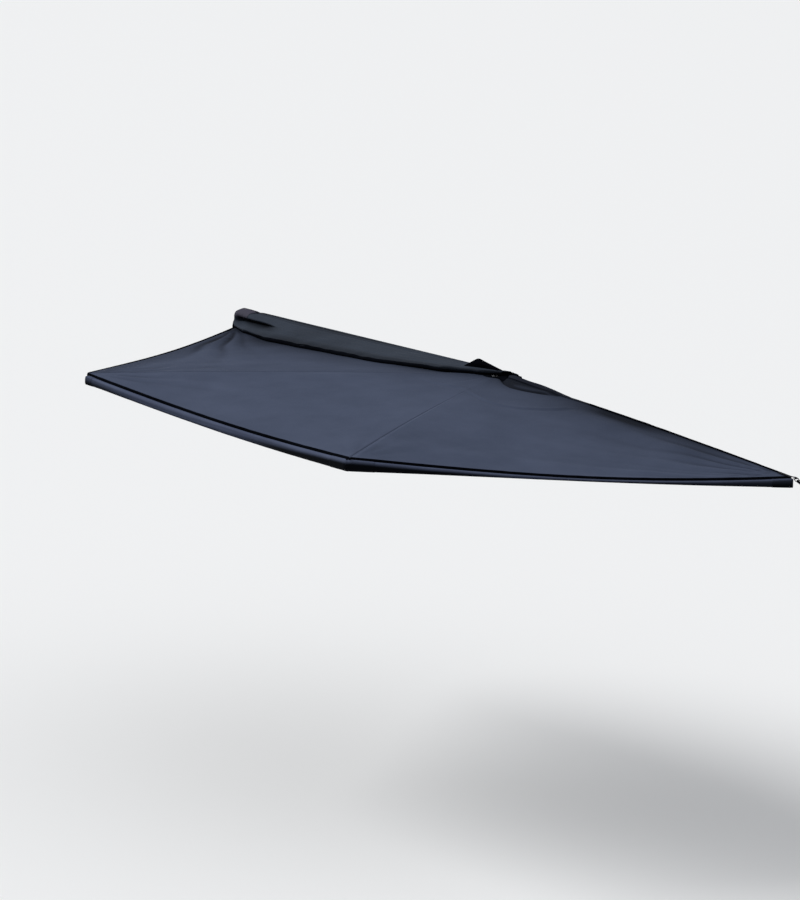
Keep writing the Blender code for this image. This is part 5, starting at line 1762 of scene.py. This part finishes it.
rows = bmesh.new()
stitch_row(rows, along_cover(TAPE_END - 0.012, TAPE_LIFT), 2.4)
stitch_row(rows, along_cover(0.948, 0.0), 2.4)
stitch_row(rows, lambda a: on_band(0.03 + 0.94 * a, 0.54), BAND_LENGTH)
stitch_row(rows, lambda a: on_band(0.96, 0.04 + 0.50 * a), 0.13, up=Vector((0, -0.7, 0.7)))
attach(put("cover_stitches", rows, THREAD), "cover")
print("two tapes, a band and their stitches")

# %% [markdown]
# The cover's rear end flap stands up over the hub, because it is stiff and bound round its edge. It is a
# triangle of doubled cloth, a little dished, with its foot sewn along the cover.

# %% The peak
PEAK_LEFT, PEAK_TOP, PEAK_RIGHT = (0.976, -0.236), (1.053, -0.200), (1.206, -0.158)
PEAK_HEIGHT = 0.188
PEAK_CLOTH, PEAK_BINDING, PEAK_DISH = 0.0020, 0.0032, 0.007
PEAK_ROUND = 0.06  # the share of its rim, each way from the peak, that is rounded


def cover_height(x, y):
    section = cover_section(x)
    for (y0, z0), (y1, z1) in zip(section, section[1:]):
        if y1 <= y <= y0:
            return z0 + (z1 - z0) * (y0 - y) / (y0 - y1)
    return section[-1][1]


def peak_foot(u):
    x = PEAK_LEFT[0] + (PEAK_RIGHT[0] - PEAK_LEFT[0]) * u
    y = PEAK_LEFT[1] + (PEAK_RIGHT[1] - PEAK_LEFT[1]) * u
    return Vector((x, y, cover_height(x, y) + 0.001))


def peak_rim(u):
    """The flap's free edge: up to the peak, rounded there, and down again."""
    left, right = peak_foot(0.0), peak_foot(1.0)
    top = Vector((*PEAK_TOP, PEAK_HEIGHT - 0.003))
    share = (PEAK_TOP[0] - PEAK_LEFT[0]) / (PEAK_RIGHT[0] - PEAK_LEFT[0])
    if u < share - PEAK_ROUND:
        return left.lerp(top, u / share)
    if u > share + PEAK_ROUND:
        return right.lerp(top, (1 - u) / (1 - share))
    near = left.lerp(top, (share - PEAK_ROUND) / share)
    far = right.lerp(top, (1 - share - PEAK_ROUND) / (1 - share))
    t = (u - share + PEAK_ROUND) / (2 * PEAK_ROUND)
    return near.lerp(top, t).lerp(top.lerp(far, t), t)


def peak_point(u, v):
    point = peak_foot(u).lerp(peak_rim(u), v)
    dish = math.sin(math.pi * u) * math.sin(math.pi * min(v, 1.0) * 0.9)
    across = Vector((PEAK_RIGHT[1] - PEAK_LEFT[1], PEAK_LEFT[0] - PEAK_RIGHT[0], 0)).normalized()
    wrinkle = 0.003 * noise.noise(Vector((u * 7.0, v * 4.0, 3.0)))
    return point + across * (PEAK_DISH * dish + wrinkle * dish)


shape = grid_shape(60, 30, peak_point, (0.25, 0.09))
peak = put("cover_peak_flap", shape, BLACK_BINDING, PEAK_CLOTH, offset=0)
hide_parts("cover_peak")
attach(peak, "cover")


def peak_binding_point(u, v):
    """A round tube about the flap's rim."""
    run = (peak_point(min(u + 0.004, 1.0), 1.0) - peak_point(max(u - 0.004, 0.0), 1.0)).normalized()
    side = run.cross(Vector((0, 0, 1))).normalized()
    turn = math.tau * v
    across, up = PEAK_BINDING * math.cos(turn), PEAK_BINDING * math.sin(turn)
    return peak_point(u, 1.0) + side * across + side.cross(run) * up


rim = put("cover_peak_binding", rolled_tube(80, 10, peak_binding_point, (0.3, 0.02)), BLACK_BINDING)
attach(rim, "cover")
print("peak", PEAK_HEIGHT, "m up")

# %% [markdown]
# The cover's rear end runs on as a black flap, which lies on the hub's plate and bolt head and bends down
# behind them. Its grid starts on the cover, comes down to whatever is under it, and falls off past the
# bend.

# %% Hub flap
FLAP_START, FLAP_RUN, FLAP_LIFT, FLAP_CLOTH = COVER_REAR - 0.030, 0.075, 0.0018, 0.0012
FLAP_ON_RAIL, FLAP_ON_PLATE, FLAP_ON_BOLT = 0.0966, 0.1050, 0.1100
RAIL_EDGE = (-0.078, -0.066)  # it steps from the plate's height to the rail's between these
FLAP_BOLT, FLAP_BOLT_HALF = (1.208, -0.105), (0.012, 0.014)
FLAP_BEND, FLAP_BEND_BACK = 1.2378, 0.0073  # where it bends down, and how much sooner it does over the rail
FLAP_FALL, FLAP_TURN_IN = 0.024, 0.55


def hub_flap_point(u, v):
    """u runs rearward and down, and v across from the groove to the loose edge."""
    x = FLAP_START + FLAP_RUN * u
    t = 0.04 + 0.90 * v
    here = cover_point(min(x, COVER_REAR), t, FLAP_LIFT)
    on_plate = 1 - smooth(*RAIL_EDGE, here.y)
    rest = FLAP_ON_RAIL + (FLAP_ON_PLATE - FLAP_ON_RAIL) * on_plate
    here.z += (min(rest, here.z) - here.z) * smooth(FLAP_START, FLAP_START + 0.030, x)
    on_bolt = mound(x, FLAP_BOLT[0], FLAP_BOLT_HALF[0]) * mound(here.y, FLAP_BOLT[1], FLAP_BOLT_HALF[1])
    here.z += max(FLAP_ON_BOLT - here.z, 0.0) * min(1.6 * on_bolt, 1.0)
    beyond = max(x - FLAP_BEND + FLAP_BEND_BACK * on_plate, 0.0)
    wavy = 1 + 0.4 * noise.noise(Vector((x * 24.0, t * 9.0, 1.0)))
    here.x = x - FLAP_TURN_IN * max(beyond - 0.006, 0.0)
    here.z -= FLAP_FALL * wavy * smooth(0.0, 0.020, beyond)
    return here


shape = grid_shape(24, 60, hub_flap_point, (FLAP_RUN, 0.18))
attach(put("cover_hub_flap", facing_up(shape), BLACK_BINDING, FLAP_CLOTH), "cover")
print("hub flap")

# %% [markdown]
# The closed front end of the cover hangs on the rail's end: one panel of cloth with a thick black piping
# round it. It follows the cover's section at the front, and is turned in below the roll.

# %% Front end of the cover
END_X = RAIL_LOW.x - 0.0045
END_CLOTH_THICKNESS = 0.0015
END_UNDER_ROLL = ((0.001, -0.020), (0.008, -0.034), (0.030, -0.036))  # from the loose edge: inward, and up
END_AT_RAIL = ((-0.042, 0.002), (-0.006, 0.006), (-0.002, 0.050))  # from the rail's back, and up
END_POINTS = 120
END_HUB = 0.04  # the panel's rings start at this share from its middle
END_BELLY = 0.0035
END_PIPING = (0.0032, 0.0026)  # radius in the panel's plane, and square to it


def end_outline():
    """Round the end panel's edge: along the cover's section, under the roll, and back to the rail."""
    section = [Vector(point) for point in cover_section(COVER_FRONT)]
    lip = section[-1]
    section += [lip + Vector(step) for step in END_UNDER_ROLL]
    return section + [Vector((RAIL_HIGH.y + y, z)) for y, z in END_AT_RAIL]


outline = end_outline()
END_LINE = smooth_line(outline + outline[:1], END_POINTS + 1)
END_MIDDLE = sum(END_LINE, Vector((0, 0))) / len(END_LINE)


def end_panel_point(u, v):
    """u runs out from the middle, and v round the panel."""
    rim = END_LINE[int(round(v * END_POINTS)) % END_POINTS]
    point = END_MIDDLE.lerp(rim, END_HUB + (1 - END_HUB) * u)
    uneven = 0.0012 * noise.noise(Vector((point.x * 30.0, point.y * 30.0, 1.0)))
    belly = END_BELLY * math.sin(math.pi * u) + uneven
    return Vector((END_X - belly * (1 - u * u), point.x, point.y))


shape = rolled_tube(9, END_POINTS, end_panel_point, (0.1, 0.3), ends="open")
rim_edges = [edge for edge in shape.edges if edge.is_boundary]
inner_rim = [e for e in rim_edges if (e.verts[0].co.yz - END_MIDDLE).length < 0.02]
bmesh.ops.holes_fill(shape, edges=inner_rim, sides=0)
end_panel = put("cover_end_panel", shape, "cover_cloth", END_CLOTH_THICKNESS)
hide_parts("cover_end_front")
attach(end_panel, "root")


def end_piping_point(u, v):
    k = u * END_POINTS
    near, far = END_LINE[int(k) % END_POINTS], END_LINE[(int(k) + 1) % END_POINTS]
    centre = near.lerp(far, k - int(k))
    run = (far - END_LINE[int(k) % END_POINTS - 1]).normalized()
    turn = math.tau * v
    out = Vector((run.y, -run.x)) * END_PIPING[0] * math.cos(turn)
    return Vector((END_X + END_PIPING[1] * math.sin(turn), centre.x + out.x, centre.y + out.y))


shape = rolled_tube(END_POINTS, 8, end_piping_point, (0.6, 0.02), ends="open")
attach(put("cover_end_piping", shape, BLACK_BINDING), "root")
print("front end of the cover")

# %% [markdown]
# The canopy is tied to the two middle arms by loops of webbing round the tube. Each loop is sewn to the
# seam above and overlaps under the tube, where two lines of stitches hold it.

# %% Webbing ties
WEBBING = 0.0014
TIE_PLACES = {"inner": 0.62, "outer": 1.38}
TIE_WIDTH = 0.025
TIE_ROOM, TIE_OVERLAP = 0.0016, 0.0022  # round the tube, and more above it
TIE_SQUARE = 0.30


def tie_point(number, place, u, v):
    arm = ARMS[number]
    turn = math.tau * v
    c, s = math.cos(turn), math.sin(turn)
    easy = TIE_ROOM + 0.0007 * noise.noise(Vector((c * 2.0, s * 2.0, place + number)))
    across = math.copysign(abs(c) ** TIE_SQUARE, c) * (TUBE_WIDTH / 2 + easy)
    up = math.copysign(abs(s) ** TIE_SQUARE, s) * (TUBE_HEIGHT / 2 + easy + (TIE_OVERLAP if s > 0 else 0.0))
    along = place + (u - 0.5) * TIE_WIDTH
    return fan_point(arm["angle"], arm["offset"] - across, along, arm_height(arm, along) + up)


for number in (2, 3):
    for label, place in TIE_PLACES.items():
        loop = lambda u, v: tie_point(number, place, u, v)
        shape = rolled_tube(4, 40, loop, (TIE_WIDTH, 0.12), ends="open")
        tie = put(f"arm_{number}_webbing_{label}", shape, "webbing", WEBBING)
        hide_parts(f"arm_{number}_tie_{label}")
        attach(tie, BODIES[number])
print("four ties")

# %% [markdown]
# Two stow straps hang from the rail's face. They go round the folded arms and close in a buckle. Each is a
# length of 25 mm webbing with a folded and stitched end, which hangs in a very slight wave.

# %% Stow straps
STRAP_PLACES = {"front": -0.45, "rear": 0.42}
STRAP_TOP, STRAP_DROP, STRAP_WIDTH = 0.030, 0.252, 0.025
STRAP_FACE = RAIL_LOW.y - WEBBING
STRAP_SWAY = 0.0016


def strap_point(x, u, v):
    """u runs across the strap and v down it."""
    hang = smooth(0.1, 0.5, v)
    sway = STRAP_SWAY * hang * math.sin(v * 9.0 + x * 4.0) - STRAP_SWAY * hang
    twist = 0.0012 * (u - 0.5) * smooth(0.3, 1.0, v)
    return Vector((x + (u - 0.5) * STRAP_WIDTH, STRAP_FACE + sway + twist, STRAP_TOP - STRAP_DROP * v))


def hang_strap(label, x):
    shape = grid_shape(6, 80, lambda u, v: strap_point(x, u, v), (STRAP_WIDTH, STRAP_DROP))
    strap = put(f"stow_webbing_{label}", shape, "webbing", WEBBING, offset=0)
    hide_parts(f"stow_strap_{label}")
    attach(strap, "root")


print("straps", STRAP_WIDTH, "m wide and", STRAP_DROP, "m long")

# %% [markdown]
# A ladder buckle is a moulded frame with two bars, which the strap's end goes round. Five bevelled bars
# make it. A washer-head screw, a low cone with a six-sided boss, holds the strap's top to the rail.

# %% Buckles and screws of the straps
BUCKLE_BARS = (  # place beside and above the buckle's middle, width and height
    (-0.0155, 0.0, 0.0042, 0.034),
    (0.0155, 0.0, 0.0042, 0.034),
    (0.0, 0.0150, 0.030, 0.0042),
    (0.0, 0.0035, 0.030, 0.0036),
    (0.0, -0.0150, 0.030, 0.0042),
)
BUCKLE_THICKNESS, BUCKLE_ROUND = 0.0056, 0.0012
BUCKLE_HEIGHT = STRAP_TOP - STRAP_DROP + 0.012
FITTING_Y = STRAP_FACE - 0.0020
STRAP_SCREW_HEIGHT = 0.021
STRAP_SCREW = (0.0065, 0.0052, 0.0026)  # radius at the strap and in front, height
STRAP_SCREW_BOSS = (0.0030, 0.0031)  # radius, height

for label, x in STRAP_PLACES.items():
    hang_strap(label, x)
    buckle = bmesh.new()
    for beside, above, width, height in BUCKLE_BARS:
        at = Matrix.Translation((x + beside, FITTING_Y, BUCKLE_HEIGHT + above))
        size = Matrix.Diagonal((width, BUCKLE_THICKNESS, height, 1.0))
        bmesh.ops.create_cube(buckle, size=1.0, matrix=at @ size)
    bmesh.ops.bevel(
        buckle,
        geom=buckle.edges[:],
        offset=BUCKLE_ROUND,
        segments=2,
        affect="EDGES",
        profile=0.5,
        material=-1,
    )
    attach(put(f"stow_buckle_{label}", buckle, "nylon"), "root")

    screw = bmesh.new()
    wide, narrow, tall = STRAP_SCREW
    boss, boss_tall = STRAP_SCREW_BOSS
    bmesh.ops.create_cone(screw, segments=28, radius1=wide, radius2=narrow, depth=tall, cap_ends=True)
    bmesh.ops.create_cone(screw, segments=6, radius1=boss, radius2=boss, depth=boss_tall, cap_ends=True)
    at = Matrix.Translation((x, FITTING_Y, STRAP_SCREW_HEIGHT)) @ Matrix.Rotation(math.pi / 2, 4, "X")
    bmesh.ops.transform(screw, verts=screw.verts, matrix=at)
    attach(put(f"stow_screw_{label}", screw, "zinc_steel"), "root")
print(len(STRAP_PLACES), "straps with their buckles and screws")

# %% [markdown]
# Four button-head screws hold the hub's flange to the rail's face, and each has a plain washer. The washer,
# the domed head and the mark of its six-sided socket are three cones, one behind the other, turned to face
# away from the rail.

# %% Screws of the hub's flange
FLANGE_FACE = RAIL_LOW.y - 0.0083
FLANGE_SCREWS = ((1.05, 0.020), (1.05, 0.074), (1.092, 0.020), (1.092, 0.074))
SCREW_STEPS = (  # sides, radius at the back and in front, depth, place of its middle in front of the flange
    (24, 0.00837, 0.00837, 0.0012, 0.0006),
    (24, 0.0062, 0.003844, 0.0030, 0.0027),
    (6, 0.0024, 0.0024, 0.0003, 0.0042),
)

for index, (x, z) in enumerate(FLANGE_SCREWS, start=1):
    shape = bmesh.new()
    at = Matrix.Translation((x, FLANGE_FACE, z)) @ Matrix.Rotation(math.pi / 2, 4, "X")
    for sides, back, front, depth, middle in SCREW_STEPS:
        bmesh.ops.create_cone(
            shape,
            segments=sides,
            radius1=back,
            radius2=front,
            depth=depth,
            cap_ends=True,
            matrix=at @ Matrix.Translation((0, 0, middle)),
        )
    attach(put(f"flange_screw_{index}", shape, "zinc_steel"), "root")
print(len(FLANGE_SCREWS), "flange screws")

# %% [markdown]
# The measured parts keep their shapes. Real parts have no knife edges, so a half-millimetre bevel is put on
# theirs, their flat faces stay flat, and each gets the finish that the record names.

# %% Finish of the measured parts
SHARP_EDGE, BEVEL_FROM = 35, 40  # degrees: edges that stay sharp in shading, and edges that are bevelled
EDGE_BEVEL, SAME_CORNER = 0.0005, 0.00002


def smooth_by_angle():
    """A node group that shades smooth, except over sharp edges."""
    group = bpy.data.node_groups.new("Smooth by angle", "GeometryNodeTree")
    group.interface.new_socket("Geometry", in_out="INPUT", socket_type="NodeSocketGeometry")
    group.interface.new_socket("Geometry", in_out="OUTPUT", socket_type="NodeSocketGeometry")
    start = add_node(group, "NodeGroupInput")
    angle = add_node(group, "GeometryNodeInputMeshEdgeAngle")
    sharp = add_node(
        group,
        "FunctionNodeCompare",
        {"data_type": "FLOAT", "operation": "GREATER_THAN"},
        {"A": angle.outputs["Unsigned Angle"], "B": math.radians(SHARP_EDGE)},
    )
    faces = add_node(
        group,
        "GeometryNodeSetShadeSmooth",
        {"domain": "FACE"},
        {"Geometry": start.outputs[0], "Shade Smooth": True},
    )
    edges = add_node(
        group,
        "GeometryNodeSetShadeSmooth",
        {"domain": "EDGE"},
        {"Geometry": faces.outputs[0], "Selection": sharp.outputs[0], "Shade Smooth": False},
    )
    end = add_node(group, "NodeGroupOutput")
    group.links.new(edges.outputs[0], end.inputs[0])
    return group


SMOOTH = smooth_by_angle()


def finish_metal(piece):
    """Merges a measured part's corners, bevels its edges and shades it."""
    weld = piece.modifiers.new("Weld", "WELD")
    weld.merge_threshold = SAME_CORNER
    edge = piece.modifiers.new("Edge", "BEVEL")
    edge.width = EDGE_BEVEL
    edge.segments = 2
    edge.limit_method = "ANGLE"
    edge.angle_limit = math.radians(BEVEL_FROM)
    edge.use_clamp_overlap = True
    shading = piece.modifiers.new("Smooth by angle", "NODES")
    shading.node_group = SMOOTH


slots = {entry["node"]: entry["material_slot"] for entry in frame["record"]["subparts"]}
for name, node in frame["nodes"].items():
    for k in range(len(node.data.materials)):
        node.data.materials[k] = FINISHES[slots[name]]
    if not node.hide_render:
        finish_metal(node)
print(sum(not node.hide_render for node in frame["nodes"].values()), "measured parts are shown")

# %% [markdown]
# A canopy panel was cut as a wedge: its two long sides run along the arms, and its outer edge between their
# tips. No sheet is declared here.

for first in (2, 3):
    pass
